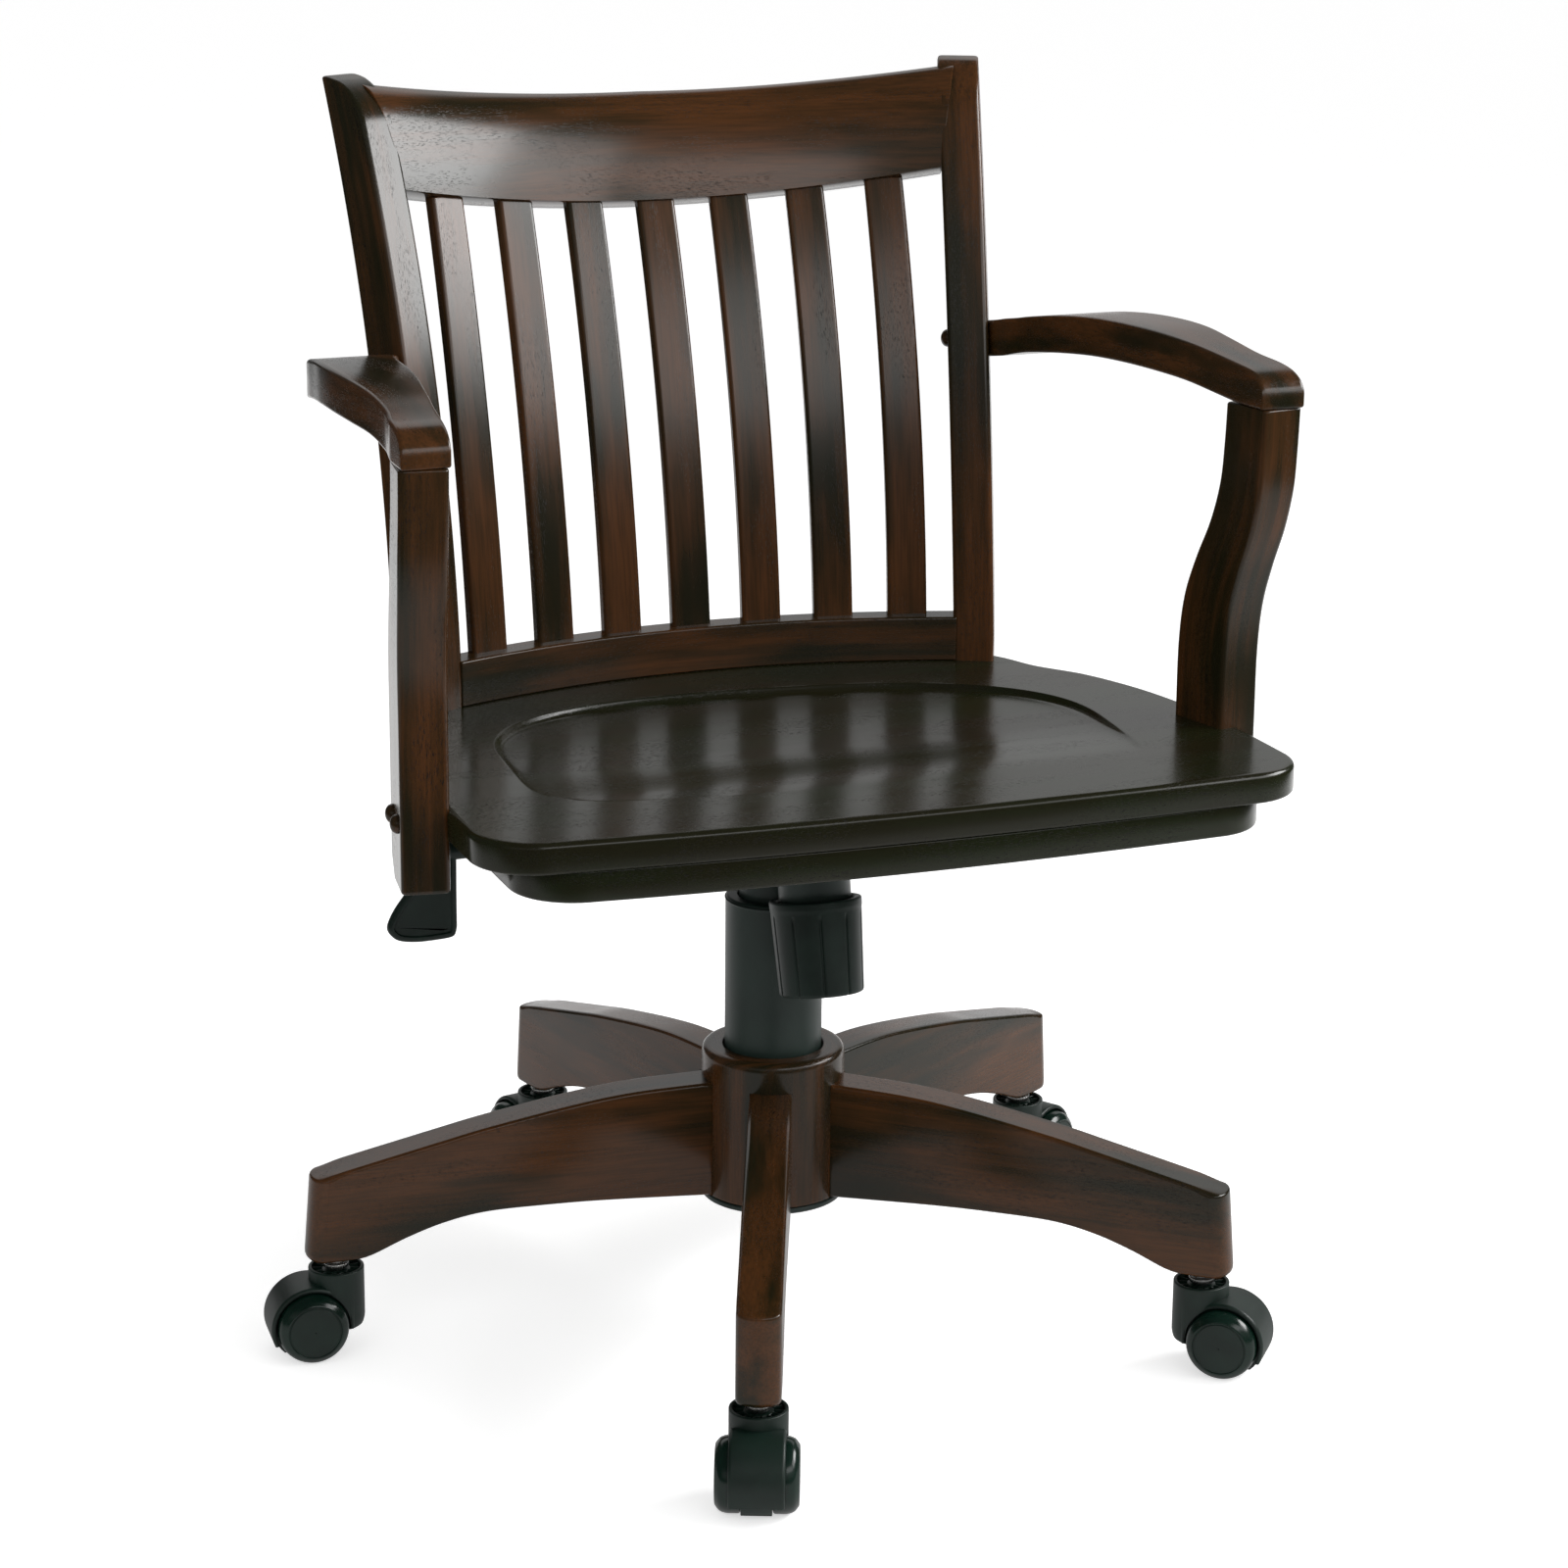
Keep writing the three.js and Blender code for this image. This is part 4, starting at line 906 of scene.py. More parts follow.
def back_post(side):
    across, back = axes(-POST_YAW)
    top = BACK_TOP - POST_TOP_ROUND

    def section(z):
        depth = blend(*POST_DEPTH, (z - POST_FOOT) / (BACK_TOP - POST_FOOT))
        front = POST_TOP_ROUND - math.sqrt(max(0, POST_TOP_ROUND**2 - max(0, z - top) ** 2))
        return rounded(0, POST_WIDTH, min(front, depth - 9), depth, (3.2, 3.2, 3.6, 3.6))

    def place(z, a, b):
        p = post_frame(z) + across * a + back * b
        return side * p.x, p.y, z

    stations = spread(POST_FOOT, top, 60)
    stations += [top + POST_TOP_ROUND * math.sin(t / 10 * 1.45) for t in range(1, 10)]
    return bar([*stations, BACK_TOP], place, section, (2, 2))


def arc_bar(half_span, front_y, sag, section, steps, ends):
    """A rail bent to an arc across the chair. half_span is a function of the height."""

    def place(s, d, z):
        span = half_span(z)
        x = s / half_span.reach * span
        y = front_y - sag * (x / half_span.reach) ** 2
        turn = math.atan2(-2 * sag * x, half_span.reach**2)
        return x - d * math.sin(turn), y + d * math.cos(turn), z

    return bar(spread(-half_span.reach, half_span.reach, steps), place, section, ends)


def crest_section(s):
    """The crest's outline: a hollow front face, a rolled top and a full back."""
    share = abs(s) / CREST_HALF_SPAN
    foot = CREST_FOOT + CREST_FOOT_RISE * share * share
    high = CREST_HEIGHT - CREST_HEIGHT_LOSS * share
    under = foot - CREST_DEPTH * CREST_LEAN / CREST_HEIGHT
    face = [(CREST_LEAN * a, foot + high * b) for a, b in CREST_FACE]
    rear = [(CREST_LEAN * a + CREST_DEPTH * b, foot + high * c) for a, b, c in CREST_BACK]
    edge = [(CREST_DEPTH - 0.7, under + 0.7), (CREST_DEPTH - 2.4, under + 0.6)]
    edge += [(2.6, blend(foot, under, 0.12)), (1.4, blend(foot, under, 0.02))]
    rear = through([*rear, (CREST_DEPTH + 0.3, under + 2.6)], 3)
    return (through([(0.6, foot + 0.5), *face], 3) + rear + edge)[::-1]


def along_board(skin):
    """Turns the grain's second and third directions round for a rail, which stands on edge."""
    skin.grain = [(s, z, d) for s, d, z in skin.grain]
    return skin


def arm_frames():
    """The arm's inner edge, outer edge, top and underside along its length from the rear."""
    rows = ((0, 1, -0.7, 0.51, -0.3), (0.05, 1.025, -0.35, 0.59, -0.22), (0.075, 0.95, 0, 0.65, -0.18),
        (0.1, 0.875, 0.19, 0.69, -0.11), (0.15, 0.785, 0.275, 0.79, -0.01),
        (0.25, 0.635, 0.36, 0.94, 0.11), (0.36, 0.5, 0.445, 1.04, 0.2), (0.48, 0.415, 0.5, 1.09, 0.25),
        (0.6, 0.32, 0.5, 1.09, 0.25), (0.72, 0.21, 0.46, 1.02, 0.2), (0.83, 0.11, 0.47, 0.9, 0.08),
        (0.9, 0.06, 0.535, 0.82, 0.01), (0.93, 0.04, 0.55, 0.78, 0), (0.955, 0.025, 0.56, 0.725, 0),
        (0.973, 0.015, 0.567, 0.65, 0), (0.987, 0.008, 0.572, 0.55, 0), (0.996, 0.003, 0.574, 0.42, 0),
        (1, 0, 0.575, 0.3, 0))
    inner, outer, top, under = (flowing([(r[0], r[k]) for r in rows]) for k in (1, 2, 3, 4))
    return (lambda t: SEAT_HALF - ARM_SWEEP * inner(t), lambda t: SEAT_HALF + ARM_SWEEP * outer(t),
        lambda t: ARM_UNDER + ARM_THICK * top(t), lambda t: ARM_UNDER + ARM_THICK * under(t))


def arm_rest(side):
    inner, outer, top, under = arm_frames()
    length = ARM_FRONT + ARM_REAR

    def section(s):
        t = s / length
        z0, z1 = under(t), top(t)
        x0, x1 = inner(t), outer(t)
        high = z1 - z0
        r = min(2.8, high * 0.4)
        low = min(1.8, high * 0.3)
        return rounded(x0, x1, z0, z1, (low, low, r, r), 5)

    def place(s, x, z):
        return side * x, ARM_REAR - s, z

    stations = spread(0, length * 0.88, 60) + [length * (0.88 + 0.12 * math.sin(math.pi / 2 * k / 18))
        for k in range(1, 19)]
    return bar(stations, place, section, (1.5, 1.2))


def arm_post(side):
    rows = ((0, 0, 0), (0.2, 0, 0), (0.38, 0.005, 0), (0.5, 0.1, 0.15), (0.6, 0.34, 0.45),
        (0.7, 0.66, 0.8), (0.8, 0.87, 1), (0.9, 0.96, 1), (1, 1, 1))
    forward, out = (flowing([(r[0], r[k]) for r in rows]) for k in (1, 2))
    heel = curve(((0, 1), (0.01, 0.86), (0.03, 0.5), (0.055, 0.04), (0.07, 0), (1, 0)))
    top = ARM_UNDER - GAP
    across, back = axes(ARM_POST_YAW)

    def section(z):
        t = (z - ARM_POST_FOOT) / (top - ARM_POST_FOOT)
        depth = blend(*ARM_POST_DEPTH, forward(t)) - ARM_POST_HEEL * heel(t)
        return rounded(0, ARM_POST_WIDTH, 0, depth, (3.4,) * 4)

    def place(z, a, b):
        t = (z - ARM_POST_FOOT) / (top - ARM_POST_FOOT)
        foot = Vector((ARM_POST_X + ARM_POST_OUT * out(t), -ARM_POST_Y - ARM_POST_FORWARD * forward(t)))
        p = foot + across * a + back * b
        return side * p.x, p.y, z

    stations = spread(ARM_POST_FOOT, ARM_POST_FOOT + 20, 10) + spread(ARM_POST_FOOT + 24, top, 64)
    return bar(stations, place, section, (2.4, 1.5))


def leg_low(a, b):
    return LEG_REACH * a, blend(LEG_HUB_BOTTOM if a < 0.45 else LEG_TIP_BOTTOM, LEG_ARCH_TOP, b)


def leg_skin():
    top = flowing([(LEG_REACH * a, blend(LEG_TIP_TOP, LEG_HUB_TOP, b)) for a, b in LEG_TOP_SHARES])
    low = flowing([leg_low(a, b) for a, b in LEG_FOOT_SHARES])
    reach = LEG_REACH - 2
    side = [(s, low(s), 0) for s in spread(HUB_RADIUS - 4, reach - 8, 60)]
    side += [(reach + LEG_TIP_SLANT, LEG_TIP_BOTTOM, 6), (reach, top(reach), 2)]
    side += [(s, top(s), 0) for s in spread(reach - 5, HUB_RADIUS - 4, 60)]
    outline = soften(side, 5, closed=True)
    half = LEG_WIDTH / 2
    rings = []
    # Rings of the leg's side view run across its thickness, and the tip is rounded seen from above.
    for k in range(-12, 13):
        turn = math.pi / 2 * k / 12
        y = half * math.sin(turn)
        over = max(0, abs(y) - half + LEG_EDGE)
        inset = LEG_EDGE - math.sqrt(LEG_EDGE**2 - over**2)
        pull = LEG_TIP_BULGE * (1 - math.cos(turn))
        ring = inwards(outline, inset)
        rings.append([(x - pull * smoothstep(x, reach - 26, reach - 1), y, z) for x, z in ring])
    return stacked(rings)


def caster_move(place_index, trail):
    """Moves a caster's own point, axle at the origin or stem at the origin, to its place."""
    turn = math.radians(FRONT_LEG + 72 * place_index)
    c, s = math.cos(turn + math.pi), math.sin(turn + math.pi)
    cx, cy = STEM_CIRCLE * math.cos(turn), STEM_CIRCLE * math.sin(turn)

    def move(p):
        x, y, z = p[0] - trail, p[1], p[2]
        return at(cx + c * x - s * y, cy + s * x + c * y, WHEEL_RADIUS + z)

    return move


def local(p):
    return Vector(p) * MM


def stem_profile():
    foot, top = SOCKET_TOP + GAP, LEG_TIP_BOTTOM + 34
    rows = [(0.5, SOCKET_TOP - 21, 0), (STEM_RADIUS, SOCKET_TOP - 21, 0.6), (STEM_RADIUS, foot - 2, 0)]
    rows += [(STEM_COLLAR - 1.6, foot - 1.6, 0.4), (STEM_COLLAR, foot, 0.5),
        (STEM_COLLAR, foot + 3, 0.7)]
    rows += [(STEM_RADIUS, foot + 3, 0.3), (STEM_RADIUS, top, 0.5), (0.5, top, 0)]
    return [(r, z - WHEEL_RADIUS) for r, z in soften(rows, 3)]


def wheel_profile():
    w, r = WHEEL_WIDTH, WHEEL_RADIUS
    rows = [(WHEEL_BORE, 0, 0.3), (7, 0, 0.3), (8, 1.2, 0.5), (r - 7, 1.2, 0.5), (r - 6, 0, 0.4)]
    rows += [(r - 0.8, 0, 0.8), (r, 1.2, 0.6), (r, w - 7.5, 3.4), (r - 1.4, w - 3.2, 3)]
    rows += [(r - 5.2, w - 0.35, 2.4), (r - 6.2, w - 0.1, 0.2), (r - 6.5, w - 0.7, 0.2)]
    rows += [(r - 7.1, w - 0.7, 0.2), (r - 7.4, w - 0.1, 0.2), (1, w, 0.2), (0.4, w - 0.1, 0)]
    return soften(rows, 4) + [(0.3, w - 1.4), (WHEEL_BORE, w - 1.4), (WHEEL_BORE, 0.05)]


def cut_away(obj, *tools):
    """Takes tools out of an object, or adds them where a tool's name starts with add."""
    for tool in tools:
        modifier = obj.modifiers.new("cut", "BOOLEAN")
        modifier.operation = "UNION" if tool.name.startswith("add") else "DIFFERENCE"
        modifier.solver = "MANIFOLD"
        modifier.object = tool
        mesh = evaluated(obj)
        obj.modifiers.remove(modifier)
        obj.data = mesh
        bpy.data.objects.remove(tool)


def hood_mesh():
    """A caster's hood, axle at the origin, stem at +x: fender, web and the cup round the stem."""
    inner = WHEEL_RADIUS + HOOD_CLEAR
    top = SOCKET_TOP - WHEEL_RADIUS
    foot = SOCKET_FOOT - WHEEL_RADIUS
    half = HOOD_WIDTH / 2

    def upright(p):
        return local((p[0], p[2], p[1]))

    # The fender's section runs across the wheels, and its stations are degrees round the axle.
    def fender(s):
        return rounded(-half, half, inner, inner + HOOD_WALL, (0.6, 0.6, 2.2, 2.2), 5)

    def ring_place(s, a, b):
        t = math.radians(s)
        return b * math.cos(t), b * math.sin(t), a

    body = piece("fender", bar(spread(-8, 205, 64), ring_place, fender, (0.4, 0.9)), upright)
    low = math.asin((WHEEL_RADIUS - 6) / inner)
    arc = spread(-low, math.pi + low, 40)
    web_outline = [((inner + 1.5) * math.cos(t), (inner + 1.5) * math.sin(t)) for t in arc]
    web = piece("add_web", plank(web_outline, -HOOD_WEB / 2, HOOD_WEB / 2, 0.6, 0.6, 2), upright)
    r, floor = SOCKET_RADIUS - SOCKET_WALL, top - SOCKET_RECESS - 1.5
    rows = [(0.5, foot, 0), (SOCKET_RADIUS - 1.5, foot, 1.4), (SOCKET_RADIUS, foot + 5, 3)]
    rows += [(SOCKET_RADIUS, top, 1), (r, top, 0.8), (r - 0.5, floor, 0.8),
        (STEM_COLLAR + 1.4, floor, 0.6)]
    rows += [(STEM_COLLAR + 1, top - 2.2, 0.5), (STEM_RADIUS + 0.5, top - 2.2, 0.3)]
    rows += [(STEM_RADIUS + 0.4, top - 20, 0), (0.4, top - 20, 0)]
    cup_skin = lathe(soften(rows, 3), 72)
    cup = piece("cup", cup_skin, lambda p: local((p[0] + CASTER_TRAIL, p[1], p[2])))
    room = lathe([(0.5, HOOD_WEB / 2), (inner, HOOD_WEB / 2), (inner, 40), (0.5, 40)], 96)
    for side in (1, -1):
        cut_away(cup, piece("room", room, lambda p: local((p[0], side * p[2], side * -p[1]))))
    cup.name = "add_cup"
    cut_away(body, web, cup)
    ribbed = rounded(STEM_COLLAR + 0.8, r + 0.2, -0.5, 0.5, (0.2,) * 4, 1)
    rib = mesh_of("rib", plank(ribbed, floor - 0.3, top - 1.6, 0.1, 0.2, 1), local)
    ribs = realised(rib, "ribs", around_axis("black_plastic"), {"Count": 14, "First angle": 0.2})
    ribs.data.transform(Matrix.Translation((CASTER_TRAIL * MM, 0, 0)))
    end = WHEEL_WIDTH + 6
    axle_skin = lathe(soften([(0.4, -end, 0), (3, -end, 0.4), (3, end, 0.4), (0.4, end, 0)]), 24)
    axle = piece("axle", axle_skin, lambda p: local((p[0], p[2], -p[1])))
    b = bmesh.new()
    mesh = bpy.data.meshes.new("hood")
    for part in (body, ribs, axle):
        b.from_mesh(part.data)
        bpy.data.objects.remove(part)
    b.to_mesh(mesh)
    b.free()
    return mesh


def polished(name, node, width, finish, body):
    """A CAD node with its small edges rounded."""
    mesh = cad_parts[node].data.copy()
    mesh.materials.clear()
    obj = linked(name, mesh)
    b = bmesh.new()
    b.from_mesh(mesh)
    bmesh.ops.remove_doubles(b, verts=b.verts, dist=0.00001)
    bmesh.ops.dissolve_limit(b, angle_limit=math.radians(0.6), verts=b.verts, edges=b.edges)
    b.to_mesh(mesh)
    b.free()
    bevel = obj.modifiers.new("edges", "BEVEL")
    bevel.width = width * MM
    bevel.segments = 2
    bevel.limit_method = "ANGLE"
    bevel.angle_limit = math.radians(35)
    obj.data = evaluated(obj)
    obj.modifiers.clear()
    finish_piece(shade(obj), finish, body, node)


def tension_move(p):
    """From the tension bolt's own frame, origin at the knob's mouth."""
    c, s = math.cos(TENSION_TILT), math.sin(TENSION_TILT)
    x, y, z = p
    return at(x, -TENSION_Y + y * c + z * s, KNOB_MOUTH - y * s + z * c)


def lever_move(p):
    """From a turned piece's own frame to the lever's rod."""
    return at(p[2], -p[1], LEVER_Z + p[0])


# What a user would change


def length(name, description, default, low, high):
    return FloatProperty(name=name, description=description, default=default, min=low, max=high,
        unit="LENGTH")


def colour(name, description, default):
    limits = {"subtype": "COLOR", "size": 3, "min": 0, "max": 1}
    return FloatVectorProperty(name=name, description=description, default=default, **limits)


class ChairSizes(bpy.types.PropertyGroup):
    seat_edge: length("Seat edge", "Rounding of the seat's top edge", 0.0042, 0.001, 0.01)
    slat_edge: length("Slat edge", "Rounding of the slats' front edges", 0.0028, 0.0005, 0.004)
    slat_count: IntProperty(name="Slats", description="How many slats the back has", default=7, min=3,
        max=11)
    groove_depth: length("Groove depth", "Depth of the tension knob's finger grooves", 0.0011, 0, 0.003)
    cap_height: length("Bolt cap height", "How far a bolt's cap stands off the wood", 0.005, 0.001,
        0.008)


class ChairColours(bpy.types.PropertyGroup):
    stain_dark: colour("Dark stain", "Where the stain is deepest", (0.0095, 0.0086, 0.0032))
    stain_warm: colour("Warm stain", "Where the wood shows through the stain", (0.066, 0.0245, 0.0072))
    stain_deep: colour("Deep stain", "Where the wood shows through on the seat's boards",
        (0.0085, 0.0118, 0.0036))
    pore: colour("Pores", "Stain held in the open pores", (0.003, 0.0018, 0.0014))
    plastic: colour("Plastic", "Casters, knob and lever paddle", (0.001, 0.008, 0.0048))
    coat: colour("Powder coat", "Column, plate and bolts", (0.0088, 0.0177, 0.0141))
    plating: colour("Plated steel", "Stems, spring and bolt", (0.62, 0.62, 0.6))


class CHAIR_OT_finishes(bpy.types.Operator):
    """Makes the materials of the chair"""

    bl_idname = "chair.finishes"
    bl_label = "Finishes"

    def execute(self, context):
        colours = context.scene.chair_colours
        dark, plastic = colours.stain_dark, tuple(colours.plastic)
        for name, warm in (("stained_wood", colours.stain_warm), ("deep_wood", colours.stain_deep)):
            MATERIALS[name] = stained_wood(name, dark, warm, colours.pore)
        for name, roughness, texture in (("black_plastic", 0.44, 0.5), ("glossy_plastic", 0.2, 0.08)):
            MATERIALS[name] = moulded_plastic(name, plastic, roughness, texture)
        MATERIALS["black_steel"] = coated_steel(tuple(colours.coat))
        MATERIALS["bright_steel"] = plated_steel(tuple(colours.plating))
        return {"FINISHED"}


class CHAIR_OT_seat(bpy.types.Operator):
    """Builds the carved seat board and the board under it"""

    bl_idname = "chair.seat"
    bl_label = "Seat"

    def execute(self, context):
        edge = context.scene.chair_sizes.seat_edge / MM
        wooden("seat_board", seat_skin(edge), "seat", "seat_slab", 1, "deep_wood")
        top = SEAT_TOP - SLAB - GAP
        outline = seat_outline(APRON_INSET, APRON_FRONT_INSET, APRON_REAR_INSET)
        under = plank(outline, top - APRON, top, 2.4, 1.2)
        wooden("seat_under_board", under, "seat", "seat_apron", 2, "deep_wood")
        return {"FINISHED"}


class CHAIR_OT_back(bpy.types.Operator):
    """Builds the back posts, the crest rail and the lower rail"""

    bl_idname = "chair.back"
    bl_label = "Back"

    def execute(self, context):
        for side, word, seed in ((1, "right", 3), (-1, "left", 4)):
            wooden("stile_" + word, back_post(side), "seat", "back_post_" + word, seed)

        def crest_span(z):
            return post_frame(z).x + RAIL_TENON

        def rail_span(z):
            return POST_HALF_SPAN + RAIL_TENON

        def rail_section(s):
            foot = SEAT_TOP + GAP
            return rounded(0, RAIL_DEPTH, foot, foot + RAIL_HEIGHT - GAP, (1, 1, 2.2, 1.8))

        crest_span.reach = CREST_HALF_SPAN
        crest = arc_bar(crest_span, CREST_FRONT_Y, CREST_SAG, crest_section, 96, (0.8, 0.8))
        wooden("crest", along_board(crest), "seat", "crest_rail", 5)
        rail_span.reach = POST_HALF_SPAN
        rail = arc_bar(rail_span, RAIL_FRONT_Y, RAIL_SAG, rail_section, 80, (0.8, 0.8))
        wooden("lower_rail", along_board(rail), "seat", "lower_back_rail", 6)
        return {"FINISHED"}


def spread_out(obj, name, tree, values, seed, groups, body, nodes):
    """The wooden copies that a tree makes of a blank, in their places, each with its own grain."""
    made = realised(obj, name, tree, values)
    made.data.transform(Matrix.Translation(at(0, 0, 0)))
    shift_grain(made, seed, groups)
    made.data.set_sharp_from_angle(angle=SHARP)
    finish_piece(made, "stained_wood", body, *nodes)


class CHAIR_OT_slats(bpy.types.Operator):
    """Builds the slats of the back"""

    bl_idname = "chair.slats"
    bl_label = "Slats"

    def execute(self, context):
        sizes = context.scene.chair_sizes
        edge = sizes.slat_edge / MM
        foot = SEAT_TOP + RAIL_HEIGHT + GAP - SLAT_TENON
        top = SLAT_TOP + SLAT_TENON

        def section(z):
            half = blend(*SLAT_WIDTH, (z - foot) / (top - foot)) / 2
            return rounded(-half, half, 0, SLAT_THICK, (edge, edge, 1.4, 1.4))

        blank = bar(spread(foot, top, 44), lambda z, a, d: (a, d, z), section, (0.4, 0.4))
        values = {"Count": sizes.slat_count, "Foot": foot * MM, "Top": top * MM}
        for word, pair in (("Pitch", SLAT_PITCH), ("Face", SLAT_FRONT), ("Sag", SLAT_SAG)):
            values[word + " at foot"], values[word + " at top"] = pair[0] * MM, pair[1] * MM
        nodes = ["back_slat_%d" % (i + 1) for i in range(7)]
        obj = piece("slat_blank", blank, local)
        spread_out(obj, "slats", slat_tree("stained_wood"), values, 7, sizes.slat_count, "seat", nodes)
        return {"FINISHED"}


class CHAIR_OT_arms(bpy.types.Operator):
    """Builds the armrests and the curved posts under them"""

    bl_idname = "chair.arms"
    bl_label = "Arms"

    def execute(self, context):
        for side, word, seed in ((1, "right", 15), (-1, "left", 17)):
            wooden("arm_" + word, arm_rest(side), "seat", "armrest_" + word, seed)
            wooden("arm_support_" + word, arm_post(side), "seat", "arm_post_" + word, seed + 1)
        return {"FINISHED"}


class CHAIR_OT_bolts(bpy.types.Operator):
    """Builds the bolts with domed caps, through the arm posts and the back posts"""

    bl_idname = "chair.bolts"
    bl_label = "Bolts"

    def execute(self, context):
        height = context.scene.chair_sizes.cap_height / MM
        r = CAP_RADIUS
        dome = [(r * math.cos(t), GAP + height * math.sin(t)) for t in spread(0.0, 1.5, 8)]
        dome.append((0.2, GAP + height))
        shank = [(0.4, -50), (2.8, -50), (2.8, -GAP), (r - 0.6, -GAP / 2), (r, GAP / 2)]
        bolt = lathe([*shank, *dome], 32)
        cap = lathe([(0.4, -3), (r, -3), (r, GAP), *dome], 32)
        across, back = axes(ARM_POST_YAW)
        face, depth = axes(-POST_YAW)
        for side, word in ((1, "right"), (-1, "left")):
            for i, end in enumerate(("front", "rear")):
                flat = Vector((ARM_POST_X, -ARM_POST_Y)) + across * ARM_POST_WIDTH
                flat = flat + back * (ARM_BOLT_INSET + i * ARM_BOLT_PITCH)
                node = "arm_bolt_%s_%s" % (word, end)
                self.cap(bolt, "arm_cap_%s_%s" % (word, end), side, flat, ARM_BOLT_Z, across, node)
            # The arm's own bolt ends in a cap on the inner face of the back post.
            flat = post_frame(BACK_BOLT_Z) + depth * 13
            self.cap(cap, "back_cap_" + word, side, flat, BACK_BOLT_Z, -face)
        return {"FINISHED"}

    def cap(self, skin, name, side, flat, z, along, *nodes):
        def move(p):
            x = flat.x + along.x * p[2] - along.y * p[0]
            y = flat.y + along.y * p[2] + along.x * p[0]
            return at(side * x, y, z + p[1])

        finish_piece(piece(name, skin, move), "stained_wood", "seat", *nodes, slot="black_steel")


class CHAIR_OT_base(bpy.types.Operator):
    """Builds the hub, its disc and the five legs"""

    bl_idname = "chair.base"
    bl_label = "Base"

    def execute(self, context):
        r, bore = HUB_RADIUS, TUBE_RADIUS + GAP
        rows = [(bore, HUB_BOTTOM, 0.5), (r, HUB_BOTTOM, 1.6), (r, HUB_TOP, HUB_ROUND * 1.25)]
        rows += [(bore + 1, HUB_TOP, 2.2), (bore, HUB_TOP - 4, 0.5)]
        wooden("hub", lathe(soften(rows, 7, True), 128, True), "base", "base_hub", 20)
        top, low = HUB_BOTTOM - GAP, HUB_BOTTOM - GAP - DISC
        rows = soften([(8.5, low, 0.5), (r, low, 1.2), (r, top, 1.2), (8.5, top, 0.5)], 3, True)
        turned("under_disc", rows, "black_steel", "base", "hub_disc", closed=True)
        values = {"Count": 5, "First angle": math.radians(FRONT_LEG)}
        nodes = ["leg_" + place for place in PLACES]
        blank = piece("leg_blank", leg_skin(), local)
        spread_out(blank, "legs", around_axis("stained_wood"), values, 21, 5, "base", nodes)
        return {"FINISHED"}


class CHAIR_OT_column(bpy.types.Operator):
    """Builds the gas lift: outer tube, guide bush, cylinder and piston rod"""

    bl_idname = "chair.column"
    bl_label = "Column"

    def execute(self, context):
        bore, wall = CYLINDER_RADIUS + GAP + 0.4, CYLINDER_RADIUS + GAP + BUSH_WALL
        lip, rim, low = TUBE_TOP - BUSH_LIP, TUBE_TOP - RIM_HEIGHT, TUBE_TOP - BUSH_HEIGHT
        tube = [(bore, TUBE_FOOT + 5, 0.4), (bore, TUBE_FOOT, 0.4), (TUBE_RADIUS, TUBE_FOOT, 0.8)]
        tube += [(TUBE_RADIUS, rim, 1.4), (RIM_RADIUS, rim + 1.6, 1.2), (RIM_RADIUS, lip - GAP, 1.1)]
        tube += [(wall + GAP, lip - GAP, 0.4), (wall + GAP, low, 0.4), (bore, low, 0.4)]
        tube = soften(tube, 4, True)
        turned("outer_tube", tube, "black_steel", "base", "column_outer_tube", closed=True)
        bush = [(bore - 0.4, low + GAP, 0.4), (wall, low + GAP, 0.4), (wall, lip, 0.3)]
        bush += [(RIM_RADIUS - 0.6, lip, 0.5), (RIM_RADIUS - 1.4, TUBE_TOP, 1.2),
            (bore + 0.2, TUBE_TOP, 0.8)]
        bush = soften(bush, 4, True)
        turned("guide_bush", bush, "black_plastic", "base", "column_guide_bush", closed=True)
        foot, r = TUBE_FOOT - GAP, ROD_RADIUS
        rod = [(0.4, foot - BUSH_LIP, 0), (r + 3, foot - BUSH_LIP, 0.6), (r + 3, foot, 0.6)]
        rod += [(r, foot, 0.2), (r, ROD_TOP, 0.6), (0.4, ROD_TOP, 0)]
        turned("piston", soften(rod), "bright_steel", "base", "piston_rod")
        r, neck = CYLINDER_RADIUS, NECK_TOP - GAP
        gas = [(ROD_RADIUS + GAP, CYLINDER_FOOT, 0.4), (r, CYLINDER_FOOT, 1), (r, SHOULDER - 4, 1.2)]
        gas += [(r - 3, SHOULDER, 1.6), (NECK_RADIUS, SHOULDER, 0.8), (NECK_RADIUS, neck, 1)]
        gas += [(BUTTON_RADIUS, neck, 0.4), (BUTTON_RADIUS, BUTTON_TOP, 0.8), (0.4, BUTTON_TOP, 0)]
        gas += [(0.4, ROD_TOP + 4, 0), (ROD_RADIUS + GAP, ROD_TOP + 4, 0.3)]
        turned("gas_spring", soften(gas, 4, True), "black_steel", "lift", "gas_cylinder", closed=True)
        return {"FINISHED"}


